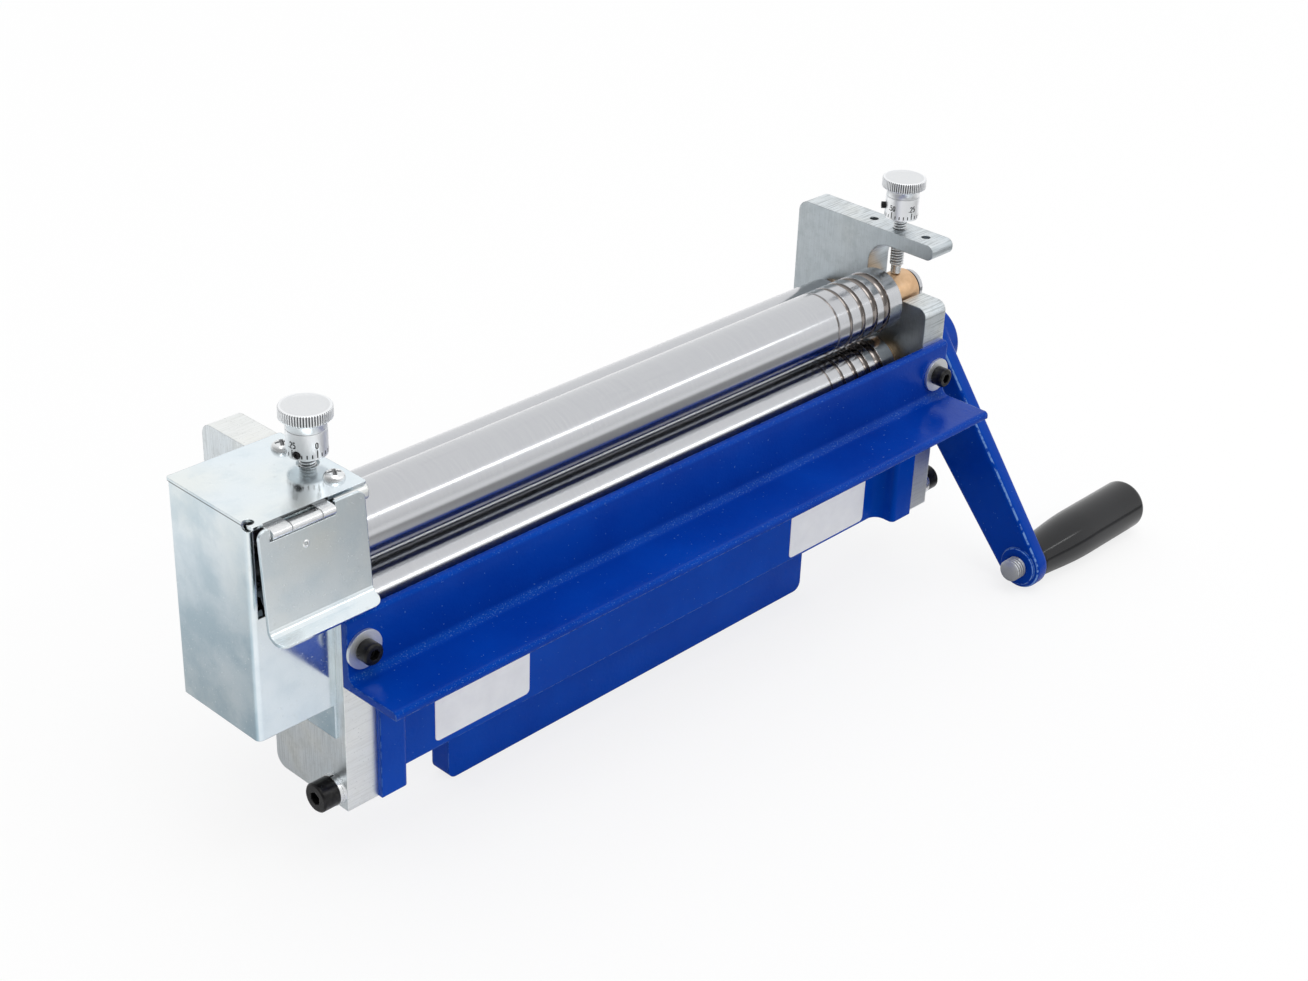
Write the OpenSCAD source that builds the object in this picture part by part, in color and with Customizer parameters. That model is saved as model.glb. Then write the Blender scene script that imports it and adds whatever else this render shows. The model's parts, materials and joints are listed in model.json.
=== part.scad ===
// Bench slip roll: two geared pinch rolls and one bending roll between two side plates.
// Millimetres, +Z up, +X towards the crank, -Y towards the user.
// The origin is the centre of the front clamp face of the vice bar.

/* [Side plates] */
// Clear distance between the side plates
plate_gap = 308; // [208:1:408]
// Thickness of a side plate
plate_t = 14; // [12:0.5:18]
// Depth of a side plate from front to back
plate_depth = 74.5; // [70:0.5:100]
// Height of a side plate
plate_h = 129; // [128:0.5:150]
// Depth of the narrow foot
foot_depth = 41; // [38:0.5:46]
// Height of the foot below the rear lobe
foot_h = 41; // [36:0.5:46]
// Thickness of the arm over the throat
arm_t = 6.7; // [6:0.1:9]
// Height of the front mouth of the throat
mouth_h = 22.5; // [18:0.5:25]
// Radius of the round end of the arm
arm_round = 3; // [1:0.1:3]
// Radius of the front corner of the upright
upright_round = 4.5; // [2:0.5:5]
// Radius of the outer corners of the plate
plate_round = 5; // [2:0.5:8]
// Radius of the inner corner over the foot
lobe_fillet = 8; // [3:0.5:9]

/* [Base and vice bar] */
// Height of the base casting
base_h = 48; // [40:0.5:50]
// Width of an end leg
leg_w = 12.5; // [10:0.5:18]
// How far the legs stand in front of the plates
leg_proud = 2.2; // [1:0.1:4]
// How far the web lies behind the front of the plates
web_setback = 7.8; // [6:0.1:10]
// Thickness of the web
web_t = 8; // [6:0.5:9]
// Thickness of the bottom flange
flange_t = 9; // [7:0.5:14]
// Radius of the fillets in the casting
base_fillet = 5; // [2:0.5:7]
// Radius of the outer edges of the casting
base_round = 2; // [0.5:0.5:3]
// Length of the vice bar
bar_len = 209; // [150:1:270]
// Thickness of the vice bar
bar_t = 9.6; // [8:0.1:14]
// Depth of the vice bar below the base
bar_drop = 28.3; // [20:0.1:40]
// Corner radius of the vice bar
bar_round = 4; // [1:0.5:8]
// How far the clamp face lies behind the front of the plates
bar_setback = 18.4; // [16:0.1:22]

/* [Front angle] */
// Width of each leg of the angle
angle_leg = 28.3; // [25:0.1:30]
// Thickness of the angle
angle_t = 3; // [2.5:0.1:4]
// Height of the top edge of the angle over the bottom of the plates
angle_rise = 82; // [80:0.1:84]
// Root radius of the angle
angle_root = 3.5; // [2:0.5:5]

/* [Rolls] */
// Working length of a roll
roll_len = 300; // [200:1:400]
// Diameter of a roll
roll_d = 28; // [26:0.1:28.3]
// Gap between the pinch rolls
roll_gap = 3.2; // [3.1:0.1:4]
// Edge chamfer of a roll
roll_chamfer = 0.8; // [0.3:0.1:1.5]
// Journal diameter of the pinch rolls
journal_d = 14; // [12.5:0.1:15]
// Journal diameter of the rear roll
rear_journal_d = 12; // [10:0.1:13]
// Distance of the pinch rolls behind the front of the plates
roll_setback = 23.6; // [23:0.1:23.8]
// Height of the lower roll over the bottom of the plates
lower_rise = 67.9; // [67:0.1:68.5]
// Distance of the rear roll behind the pinch rolls
rear_back = 27.5; // [27.4:0.1:29]
// Height of the rear roll over the lower roll
rear_rise = 16.7; // [16:0.1:17.2]
// Distance of the first wire groove from the roll end
groove_start = 11; // [9:0.5:14]
// Spacing of the wire grooves
groove_pitch = 8; // [7:0.5:10]
// Radius of the first wire groove
groove_r = 2.2; // [1.5:0.1:2.6]
// How much smaller each next groove is
groove_step = 0.4; // [0.2:0.05:0.45]

/* [Bushes] */
// Outside diameter of the upper bushes
bush_d = 20; // [19:0.1:21.5]
// Outside diameter of the lower bushes
lower_bush_d = 20; // [18:0.1:20.5]
// Outside diameter of the rear bushes
rear_bush_d = 18; // [16.5:0.1:19]
// Flange diameter of the rear bushes
rear_flange_d = 22; // [21.5:0.1:24]
// Radial clearance of a running fit
run_fit = 0.05; // [0.02:0.01:0.1]
// Side clearance of a bush that slides in its slot
slide_fit = 0.15; // [0.05:0.05:0.3]
// Gap between pieces that move past each other
move_gap = 0.4; // [0.3:0.1:0.6]
// Clearance of a seat inside one body
seat_fit = 0.02; // [0.01:0.01:0.05]

/* [Adjustment] */
// Downward travel of the upper roll
pinch_down = 2.6; // [1:0.1:2.7]
// Rearmost bend travel below rest
rear_down = 7; // [4:0.5:7.5]
// Travel of the rear roll above rest
rear_up = 3; // [1:0.5:3.5]
// Spare length at the top of the rear slot
rear_slot_spare = 0.5; // [0:0.5:8]
// Diameter of the adjusting screws
screw_d = 6; // [5:0.5:6.5]
// Diameter of the plain tip of an adjusting screw
tip_d = 4.5; // [3:0.1:4.9]
// Length of the plain tip
tip_len = 4; // [2:0.5:6]
// Height of the dial over the arm
dial_lift = 5.6; // [4.4:0.1:7]
// Diameter of the dial
dial_d = 14.5; // [12:0.1:16]
// Height of the dial
dial_h = 9.5; // [8:0.1:12]
// Diameter of the collar under the knob
collar_d = 14.2; // [12:0.1:16]
// Height of the collar under the knob
collar_h = 3.4; // [2:0.1:5]
// Diameter of a knurled knob
knob_d = 18.8; // [16:0.1:24]
// Height of a knurled knob
knob_h = 4.8; // [4:0.1:8]
// Diameter of a dial set screw
set_d = 3; // [2:0.5:3.5]
// How far a set screw stands out of its dial
set_proud = 1.7; // [0.5:0.1:2]
// Diameter of a rear knob
rear_knob_d = 16; // [14:0.5:17]
// Height of a rear knob
rear_knob_h = 8; // [6:0.5:12]
// Outside diameter of a lift spring
spring_d = 5.6; // [5:0.1:5.8]
// Wire diameter of a lift spring
spring_wire = 0.8; // [0.6:0.1:0.8]
// Turns of a lift spring
spring_turns = 4; // [3:0.5:4.5]

/* [Gears] */
// Teeth of a gear
gear_teeth = 12; // [12:1:12]
// Pitch radius of a gear
gear_pitch_r = 15; // [14.8:0.1:15.2]
// Tip radius of a gear
gear_tip_r = 17.2; // [16.8:0.1:17.3]
// Root radius of a gear
gear_root_r = 10.8; // [10.4:0.1:10.9]
// Tooth thickness at the pitch radius
tooth_t = 2.9; // [2.6:0.1:3]
// Width of a gear
gear_w = 16; // [12:0.5:18]
// Diameter of the gear seat
seat_d = 12; // [10:0.1:12.4]
// Width and height of the keys
key_w = 4; // [3:0.5:4]

/* [Gear cover] */
// How far the cover stands out from the left plate
cover_out = 33.7; // [31:0.1:40]
// Sheet thickness of the cover
cover_t = 1.2; // [1:0.1:1.5]
// Distance of the cover behind the front of the plates
cover_setback = 3.9; // [3.5:0.1:4.2]
// Depth of the cover from front to back
cover_depth = 43.8; // [43:0.1:48]
// Height of the cover below the top of the angle
cover_low = 37.5; // [35:0.1:39]
// Height of the window's lower edge over the top of the angle
window_low = 11; // [8:0.5:14]
// Outer bend radius of the cover
cover_bend = 2.2; // [1.6:0.1:3]
// Length of the tab below the cover
tab_drop = 14.2; // [10:0.1:18]
// Depth of the tab
tab_depth = 16; // [12:0.5:18]
// Depth of the narrow flange over the tab
flange_depth = 7.5; // [5:0.5:8]
// Spacing of the two screws in an arm
cover_hole_pitch = 28.4; // [27:0.1:29]
// Diameter of the cover screws
cover_screw_d = 4; // [3:0.5:4]
// Head diameter of a cover screw
cover_head_d = 7.8; // [6:0.1:8]
// Head height of a cover screw
cover_head_h = 2.6; // [2:0.1:3]

/* [Flap] */
// Width of the flap
flap_w = 43.6; // [40:0.1:44]
// Height of the flap below the hinge
flap_drop = 33.4; // [30:0.1:36]
// Lip length of the flap
lip_len = 4.6; // [4.2:0.1:8]
// Bend of the lip
lip_bend = 65; // [40:1:80]
// Outward lean of the closed flap
flap_lean = 4.6; // [0:0.1:8]
// Corner radius of the flap
flap_round = 3; // [1:0.5:5]
// Corner radius of the lip
lip_round = 4; // [1:0.5:4]
// Diameter of the hinge barrel
barrel_d = 3.5; // [3:0.1:3.6]
// Diameter of the hinge pin
pin_d = 1.8; // [1.4:0.1:2]
// Length of the hinge
hinge_len = 25.7; // [20:0.1:28]
// Length of the middle knuckle
knuckle_mid = 12.1; // [8:0.1:14]
// Length of the first knuckle
knuckle_first = 7.9; // [5:0.1:9]
// Thickness of the hinge leaves
leaf_t = 0.8; // [0.6:0.1:0.9]

/* [Fasteners] */
// Diameter of the angle screws
angle_screw_d = 5; // [4:0.5:6]
// Head diameter of an angle screw
angle_head_d = 8.5; // [7:0.1:10]
// Outside diameter of an angle washer
angle_washer_d = 15; // [12:0.5:18]
// Diameter of the base bolts
base_bolt_d = 6; // [5:0.5:6.5]
// Head diameter of a base bolt
base_head_d = 11.5; // [9:0.5:12]
// Head height of a base bolt
base_head_h = 7; // [5:0.5:7]
// Thickness of each washer under a base bolt
base_washer_t = 1.4; // [1:0.1:1.5]
// Distance of the lower bolts behind the front of the plates
bolt_in = 6.2; // [6:0.1:8]
// Height of the lower bolts over the bottom of the plates
bolt_up = 7.4; // [7:0.1:12]
// Distance of the upper bolts behind the front of the plates
rear_bolt_in = 30; // [27:0.5:31]
// Height of the upper bolts over the bottom of the plates
rear_bolt_up = 36; // [30:0.5:38]

/* [Crank] */
// Centre distance of the crank
crank_r = 111; // [90:1:150]
// Angle of the crank below the front horizon
crank_angle = 50.4; // [0:0.1:90]
// Radius of the crank hub
hub_r = 16; // [14:0.5:18]
// Radius of the outer end of the crank arm
arm_end_r = 10.8; // [9:0.1:12]
// Distance of the arm from the right plate
arm_stand = 10.6; // [10.4:0.1:14]
// Thickness of the crank arm
crank_t = 8; // [6:0.5:10]
// Length of the crank hub
hub_len = 22; // [20:0.5:26]
// Diameter of the grip spindle
spindle_d = 10; // [8:0.5:10]
// How far the spindle stands out behind the arm
spindle_stub = 6; // [4:0.5:12]
// Length of the grip
grip_len = 78; // [60:1:110]
// Grip diameter next to the arm
grip_d = 18.6; // [18:0.1:20]
// Grip diameter at its thickest
grip_max_d = 23.4; // [22:0.1:30]
// Corner radius of the grip's end
grip_round = 3; // [1:0.1:3]

/* [Hidden] */
$fn = 64;
eps = 0.01;
plate_bottom = bar_drop / 2;
plate_top = plate_bottom + plate_h;
plate_front = -bar_setback;
plate_back = plate_front + plate_depth;
foot_back = plate_front + foot_depth;
lobe_bottom = plate_bottom + foot_h;
arm_under = plate_top - arm_t;
upright_top = arm_under - mouth_h;
inner_x = plate_gap / 2;
outer_x = inner_x + plate_t;
screw_x = inner_x + plate_t / 2;
angle_top = plate_bottom + angle_rise;
angle_low = angle_top - angle_leg;
roll_y = plate_front + roll_setback;
lower_z = plate_bottom + lower_rise;
upper_z = lower_z + roll_d + roll_gap;
rear_y = roll_y + rear_back;
rear_z = lower_z + rear_rise;
roll_end = roll_len / 2;
slot_r = bush_d / 2 + slide_fit;
slot_z = upper_z - pinch_down - move_gap;
rear_slot_r = rear_bush_d / 2 + slide_fit;
rear_slot_low = rear_z - rear_down - move_gap;
rear_slot_high = rear_z + rear_up + rear_slot_spare;
// Spring pocket under the upper bush
pocket_d = spring_d + 0.8;
pocket_low = lower_z + lower_bush_d / 2 + 2.4;
spring_top = upper_z - bush_d / 2 - 0.1;
// Screws in the front angle
angle_screw_z = angle_top - angle_leg / 2 + 0.4;
angle_washer_t = 1.2;
angle_thread = 10;
angle_head_h = angle_screw_d;
// Bolts through the plates into the base, as y and z
bolt_spots = [[plate_front + bolt_in, plate_bottom + bolt_up],
  [plate_front + rear_bolt_in, plate_bottom + rear_bolt_up]];
base_thread = 10;
// Shaft shoulder for the gear and for the crank
gear_x = outer_x + 2.6;
clip_t = 1.2;
clip_gap = 0.3;
shaft_tail = 3.9;
gear_end = gear_x + gear_w;
shaft_end = gear_end + shaft_tail;
hub_x = outer_x + 2.6;
hub_end = hub_x + hub_len;
ring_x = outer_x + 0.6;
ring_t = 1.4;
ring_d = bush_d + 0.4;
groove_d = journal_d - 1.4;
clip_groove_d = seat_d - 1.2;
clip_d = seat_d + 4.4;
stub_end = ring_x + ring_t + 2.5;
key_len = gear_w - 3;
// Base of involute gear teeth, 20 degree pressure angle
gear_base_r = gear_pitch_r * cos(20);
tooth_half = tooth_t / gear_pitch_r * 90 / PI;
flank = [gear_root_r, gear_base_r, 14.7, 15.4, 16.2, 16.8, gear_tip_r];
// Cover faces
cover_front = plate_front + cover_setback;
cover_back = cover_front + cover_depth;
cover_bottom = angle_top - cover_low;
cover_left = -outer_x - cover_out;
lid_right = -inner_x - 0.2;
strip_w = 2.8;
tab_rise = 6;
tab_top = cover_bottom + tab_rise;
relief_r = 2.3;
// Hinge of the flap
hinge_y = plate_front - 2.6;
hinge_z = plate_top - barrel_d / 2;
hinge_left = cover_left + 4.9;
lid_gap = 1.6;
lid_front = hinge_y + barrel_d / 2 + lid_gap;
leaf_depth = 6;
knuckle_gap = 0.3;
flap_left = cover_left + 0.1;
flap_face = -0.3;
flap_ear = 2.4;
lip_r = 3;
leaf_drop = 11;
// Dials and knobs
dial_z = plate_top + dial_lift;
collar_z = dial_z + dial_h;
knob_z = collar_z + collar_h;
knob_top = knob_z + knob_h;
tip_z = upper_z + bush_d / 2 + 0.3;
rear_tip_z = rear_z - rear_bush_d / 2 - 0.3;
rear_knob_top = lobe_bottom - rear_up - lobe_fillet / 2 - move_gap;
rear_knob_z = rear_knob_top - rear_knob_h;
knob_edge = 0.6;
set_angle = [203, 135];
set_rise = [1.9, 4.8];
// Crank pieces
arm_x = outer_x + arm_stand;
crank_y = -cos(crank_angle) * crank_r;
crank_z = -sin(crank_angle) * crank_r;
boss_t = 1.2;
boss_r = arm_end_r - 0.5;
taper = asin((hub_r - arm_end_r) / crank_r);
grip_x = arm_x + crank_t + move_gap;
grip_end = grip_x + grip_len;
grip_swell = 0.5;
recess_depth = 8;
recess_d = 17;
spindle_head_d = 15;
spindle_head_h = 5;
crank_screw_d = 6;
crank_washer_d = 20;
crank_washer_t = 1.6;

// Extrudes a shape drawn in y and z along X
module along_x(start, length) {
  translate([start, 0, 0]) rotate([90, 0, 90]) linear_extrude(length) children();
}

// A cylinder along X
module rod_x(start, length, y, z, d) {
  translate([start, y, z]) rotate([0, 90, 0]) cylinder(d = d, h = length);
}

// A tube along X
module tube_x(start, length, y, z, d, bore) {
  difference() {
    rod_x(start, length, y, z, d);
    rod_x(start - 1, length + 2, y, z, bore);
  }
}

// Cuts a sharp corner to a round; sy and sz point into the solid
module corner_cut(y, z, r, sy, sz) {
  translate([y, z]) difference() {
    translate([sy > 0 ? -1 : -r, sz > 0 ? -1 : -r]) square(r + 1);
    translate([sy * r, sz * r]) circle(r);
  }
}

// Fills an inner corner; sy and sz point into the empty space
module corner_fill(y, z, r, sy, sz) {
  translate([y, z]) difference() {
    translate([sy > 0 ? -eps : -r, sz > 0 ? -eps : -r]) square(r + eps);
    translate([sy * r, sz * r]) circle(r);
  }
}

// A rectangle between two corners with round corners
module round_box(x0, y0, x1, y1, r) {
  translate([x0 + r, y0]) square([x1 - x0 - 2 * r, y1 - y0]);
  translate([x0, y0 + r]) square([x1 - x0, y1 - y0 - 2 * r]);
  for (x = [x0 + r, x1 - r]) for (y = [y0 + r, y1 - r]) translate([x, y]) circle(r);
}

// A socket screw with its seat at z = 0 and its shank pointing down
module socket_screw(d, head_d, head_h, length) {
  difference() {
    union() {
      cylinder(d = head_d, h = head_h - knob_edge);
      translate([0, 0, head_h - knob_edge]) cylinder(d1 = head_d, d2 = head_d - 2 * knob_edge, h = knob_edge);
      translate([0, 0, -length]) cylinder(d = d - 2 * seat_fit, h = length + eps);
    }
    translate([0, 0, head_h / 2]) cylinder(d = d * 0.92, h = head_h, $fn = 6);
  }
}

// The open throat with the slot for an upper bush
module throat_shape() {
  translate([roll_y, slot_z]) circle(slot_r);
  translate([roll_y - slot_r, slot_z]) square([2 * slot_r, arm_under - slot_r - slot_z]);
  translate([roll_y, arm_under - slot_r]) circle(slot_r);
  translate([plate_front - 1, upright_top]) square([roll_y - plate_front + 1, mouth_h]);
}

module rear_slot_shape() {
  for (z = [rear_slot_low, rear_slot_high]) translate([rear_y, z]) circle(rear_slot_r);
  translate([rear_y - rear_slot_r, rear_slot_low]) square([2 * rear_slot_r, rear_slot_high - rear_slot_low]);
}

module plate_shape() {
  difference() {
    union() {
      translate([plate_front, plate_bottom]) square([foot_depth, plate_h]);
      translate([plate_front, lobe_bottom]) square([plate_depth, plate_top - lobe_bottom]);
      corner_fill(foot_back, lobe_bottom, lobe_fillet, 1, -1);
    }
    throat_shape();
    rear_slot_shape();
    translate([roll_y, lower_z]) circle(d = lower_bush_d);
    corner_cut(plate_front, plate_top, arm_round, 1, -1);
    corner_cut(plate_front, arm_under, arm_round, 1, 1);
    corner_cut(plate_front, upright_top, upright_round, 1, -1);
    corner_cut(plate_back, plate_top, plate_round, -1, -1);
    corner_cut(plate_back, lobe_bottom, plate_round, -1, 1);
    corner_cut(foot_back, plate_bottom, plate_round, -1, 1);
  }
}

// One side plate; side is -1 for the left and 1 for the right
module side_plate(side) {
  x = side * screw_x;
  difference() {
    along_x(x - plate_t / 2, plate_t) plate_shape();
    translate([x, roll_y, arm_under - 1]) cylinder(d = screw_d + 2 * run_fit, h = arm_t + 2);
    for (s = [-1, 1]) translate([x, roll_y + s * cover_hole_pitch / 2, arm_under - 2])
      cylinder(d = cover_screw_d, h = arm_t + 4);
    translate([x, plate_front - 1, angle_screw_z]) rotate([-90, 0, 0])
      cylinder(d = angle_screw_d, h = angle_thread + 2);
    for (p = bolt_spots) rod_x(x - plate_t, 2 * plate_t, p[0], p[1], base_bolt_d + 0.6);
    translate([x, rear_y, lobe_bottom - 1]) cylinder(d = screw_d + 2 * run_fit,
      h = rear_slot_low - lobe_bottom);
    translate([x, roll_y, pocket_low]) cylinder(d = pocket_d, h = slot_z - pocket_low);
  }
}

module left_side_plate() {
  color([0.76, 0.77, 0.76]) side_plate(-1);
}

module right_side_plate() {
  color([0.76, 0.77, 0.76]) side_plate(1);
}

module angle_shape() {
  difference() {
    union() {
      translate([plate_front - angle_t, angle_low]) square([angle_t, angle_leg]);
      translate([plate_front - angle_leg, angle_low]) square([angle_leg, angle_t]);
      corner_fill(plate_front - angle_t, angle_low + angle_t, angle_root, -1, 1);
    }
    corner_cut(plate_front - angle_leg, angle_low + angle_t, angle_t * 0.6, 1, -1);
    corner_cut(plate_front - angle_t, angle_top, angle_t * 0.6, 1, -1);
  }
}

module front_angle() {
  color([0.01, 0.2, 0.6]) difference() {
    along_x(-outer_x, 2 * outer_x) angle_shape();
    for (s = [-1, 1]) translate([s * screw_x, plate_front - 2 * angle_t, angle_screw_z]) rotate([-90, 0, 0])
      cylinder(d = angle_screw_d + 0.5, h = 3 * angle_t);
  }
}

// Plan of the web and the two end legs
module base_plan() {
  leg_x = inner_x - leg_w;
  leg_front = plate_front - leg_proud;
  leg_back = foot_back - 1.5;
  web_front = plate_front + web_setback;
  translate([-inner_x, web_front]) square([2 * inner_x, web_t]);
  for (s = [-1, 1]) {
    difference() {
      translate([s > 0 ? leg_x : -inner_x, leg_front]) square([leg_w, leg_back - leg_front]);
      corner_cut(s * leg_x, leg_front, base_round, s, 1);
      corner_cut(s * leg_x, leg_back, base_round, s, -1);
    }
    corner_fill(s * leg_x, web_front, base_fillet, -s, -1);
    corner_fill(s * leg_x, web_front + web_t, base_fillet, -s, 1);
  }
}

module base_casting() {
  web_back = plate_front + web_setback + web_t;
  depth = foot_back - 1.5 - web_back;
  color([0.01, 0.2, 0.6]) difference() {
    union() {
      translate([0, 0, plate_bottom]) linear_extrude(base_h) base_plan();
      translate([-inner_x + 1, web_back - 1, plate_bottom]) cube([plate_gap - 2, depth - 1, flange_t]);
      along_x(-inner_x + 1, plate_gap - 2) corner_fill(web_back, plate_bottom + flange_t, base_fillet, 1, 1);
    }
    for (s = [-1, 1]) for (p = bolt_spots) rod_x(s * inner_x - base_thread - 1, 2 * base_thread + 2, p[0],
      p[1], base_bolt_d);
  }
}

module vice_bar() {
  color([0.01, 0.2, 0.6]) translate([0, bar_t, 0]) rotate([90, 0, 0]) linear_extrude(bar_t) difference() {
    translate([-bar_len / 2, -bar_drop / 2]) square([bar_len, bar_drop]);
    for (s = [-1, 1]) corner_cut(s * bar_len / 2, -bar_drop / 2, bar_round, -s, 1);
  }
}

module angle_washers() {
  color([0.8, 0.81, 0.8]) for (s = [-1, 1])
    translate([s * screw_x, plate_front - angle_t, angle_screw_z]) rotate([90, 0, 0]) difference() {
      cylinder(d = angle_washer_d, h = angle_washer_t);
      translate([0, 0, -1]) cylinder(d = angle_screw_d + 0.4, h = angle_washer_t + 2);
    }
}

module angle_screws() {
  reach = angle_thread + angle_t + angle_washer_t;
  color([0.05, 0.05, 0.05]) for (s = [-1, 1])
    translate([s * screw_x, plate_front - angle_t - angle_washer_t, angle_screw_z]) rotate([90, 0, 0])
      socket_screw(angle_screw_d, angle_head_d, angle_head_h, reach);
}

// Repeats a piece drawn along +Z at the outer face of a plate at every base bolt
module at_base_bolts(lift) {
  for (s = [-1, 1]) for (p = bolt_spots)
    translate([s * (outer_x + lift), p[0], p[1]]) rotate([0, s * 90, 0]) children();
}

module base_bolts() {
  stack = 2 * base_washer_t;
  color([0.05, 0.05, 0.05]) at_base_bolts(stack)
    socket_screw(base_bolt_d, base_head_d, base_head_h, plate_t + stack + base_thread - 1);
}

module base_spring_washers() {
  color([0.5, 0.5, 0.5]) at_base_bolts(base_washer_t) difference() {
    cylinder(d = base_head_d + 0.6, h = base_washer_t);
    translate([0, 0, -1]) cylinder(d = base_bolt_d + 0.3, h = base_washer_t + 2);
    translate([0, -0.5, -1]) cube([base_head_d, 1, base_washer_t + 2]);
  }
}

module base_flat_washers() {
  color([0.8, 0.81, 0.8]) at_base_bolts(0) difference() {
    cylinder(d = base_head_d + 0.9, h = base_washer_t);
    translate([0, 0, -1]) cylinder(d = base_bolt_d + 0.4, h = base_washer_t + 2);
  }
}

// Bushes are drawn for the right and mirrored for the left
module lower_bush() {
  tube_x(roll_end + move_gap, outer_x - roll_end - move_gap, roll_y, lower_z, lower_bush_d - 2 * seat_fit,
    journal_d + 2 * run_fit);
}

module upper_bush() {
  tube_x(roll_end + move_gap, outer_x - roll_end - move_gap + 0.2, roll_y, upper_z, bush_d,
    journal_d + 2 * run_fit);
}

module rear_bush() {
  difference() {
    union() {
      rod_x(roll_end + move_gap, outer_x - roll_end - move_gap, rear_y, rear_z, rear_bush_d);
      rod_x(roll_end + move_gap, inner_x - roll_end - 2 * move_gap, rear_y, rear_z, rear_flange_d);
    }
    rod_x(roll_end - 1, outer_x, rear_y, rear_z, rear_journal_d + 2 * run_fit);
  }
}

module lower_bush_left() {
  color([0.72, 0.52, 0.3]) mirror([1, 0, 0]) lower_bush();
}

module lower_bush_right() {
  color([0.72, 0.52, 0.3]) lower_bush();
}

module upper_bush_left() {
  color([0.72, 0.52, 0.3]) mirror([1, 0, 0]) upper_bush();
}

module upper_bush_right() {
  color([0.72, 0.52, 0.3]) upper_bush();
}

module rear_bush_left() {
  color([0.72, 0.52, 0.3]) mirror([1, 0, 0]) rear_bush();
}

module rear_bush_right() {
  color([0.72, 0.52, 0.3]) rear_bush();
}

// The ground body of a roll with chamfered ends
module roll_body(y, z) {
  r = roll_d / 2;
  translate([0, y, z]) rotate([0, 90, 0]) rotate_extrude()
    polygon([[0, -roll_end], [r - roll_chamfer, -roll_end],
    [r, -roll_end + roll_chamfer], [r, roll_end - roll_chamfer], [r - roll_chamfer, roll_end], [0, roll_end]]);
}

// Wire grooves near the right end, the widest one outermost
module wire_grooves(y, z) {
  for (i = [0:4]) translate([roll_end - groove_start - i * groove_pitch, y, z]) rotate([0, 90, 0])
    rotate_extrude() translate([roll_d / 2, 0]) circle(groove_r - i * groove_step, $fn = 32);
}

// The geared left end of a pinch roll with its key slot and clip groove
module geared_end(z) {
  rod_x(-gear_x, gear_x - roll_end + 1, roll_y, z, journal_d);
  difference() {
    rod_x(-shaft_end, shaft_end - gear_x + 1, roll_y, z, seat_d);
    tube_x(-gear_end - clip_gap - clip_t, clip_t, roll_y, z, seat_d + 2, clip_groove_d);
    translate([-gear_x - key_len - 1, roll_y - key_w / 2, z + seat_d / 2 - key_w / 2])
      cube([key_len, key_w, key_w]);
  }
}

module upper_roll() {
  color([0.62, 0.62, 0.63]) {
    difference() {
      roll_body(roll_y, upper_z);
      wire_grooves(roll_y, upper_z);
    }
    geared_end(upper_z);
    difference() {
      rod_x(roll_end - 1, stub_end - roll_end + 1, roll_y, upper_z, journal_d);
      tube_x(ring_x, ring_t, roll_y, upper_z, journal_d + 2, groove_d);
    }
  }
}

module lower_roll() {
  color([0.62, 0.62, 0.63]) {
    difference() {
      roll_body(roll_y, lower_z);
      wire_grooves(roll_y, lower_z);
    }
    geared_end(lower_z);
    rod_x(roll_end - 1, hub_x - roll_end + 1 - 0.2, roll_y, lower_z, journal_d);
    difference() {
      rod_x(hub_x - 1, hub_len + 0.6, roll_y, lower_z, seat_d);
      rod_x(hub_x + 4, hub_len, roll_y, lower_z, crank_screw_d);
      translate([hub_x + 1, roll_y - key_w / 2, lower_z + seat_d / 2 - key_w / 2])
        cube([key_len, key_w, key_w]);
    }
  }
}

module rear_roll() {
  color([0.62, 0.62, 0.63]) {
    roll_body(rear_y, rear_z);
    rod_x(-outer_x + 0.5, 2 * outer_x - 1, rear_y, rear_z, rear_journal_d);
  }
}

// Roll-off angle of the involute at a radius
function involute(r) = r <= gear_base_r ? 0 : sqrt(pow(r / gear_base_r,
  2) - 1) * 180 / PI - acos(gear_base_r / r);

// Half the angle of a tooth at a radius
function tooth_angle(r) = tooth_half + involute(gear_pitch_r) - involute(max(r, gear_base_r));

module gear_shape(turn) {
  last = len(flank) - 1;
  polygon([for (k = [0:gear_teeth - 1]) for (i = [0:2 * last + 1])
    let (r = flank[i <= last ? i : 2 * last + 1 - i])
    let (a = turn + k * 360 / gear_teeth + (i <= last ? -1 : 1) * tooth_angle(r))
    [r * cos(a), r * sin(a)]]);
}

// A spur gear on the left shaft end; turn sets its first tooth
module spur_gear(z, turn) {
  difference() {
    along_x(-gear_end, gear_w) translate([roll_y, z]) gear_shape(turn);
    rod_x(-gear_end - 1, gear_w + 2, roll_y, z, seat_d + 2 * seat_fit);
    translate([-gear_end - 1, roll_y - key_w / 2, z]) cube([gear_w + 2, key_w, seat_d / 2 + key_w / 2 + 0.1]);
  }
}

module upper_gear() {
  color([0.45, 0.45, 0.46]) spur_gear(upper_z, 0);
}

module lower_gear() {
  color([0.45, 0.45, 0.46]) spur_gear(lower_z, 180 / gear_teeth);
}

// A parallel key on top of a shaft
module shaft_key(x, z) {
  f = 2 * seat_fit;
  translate([x + f, roll_y - key_w / 2 + f, z + seat_d / 2 - key_w / 2 + f])
    cube([key_len - 2 * f, key_w - 2 * f, key_w - 2 * f]);
}

module upper_gear_key() {
  color([0.3, 0.3, 0.31]) shaft_key(-gear_x - key_len - 1, upper_z);
}

module lower_gear_key() {
  color([0.3, 0.3, 0.31]) shaft_key(-gear_x - key_len - 1, lower_z);
}

module crank_key() {
  color([0.3, 0.3, 0.31]) shaft_key(hub_x + 1, lower_z);
}

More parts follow.
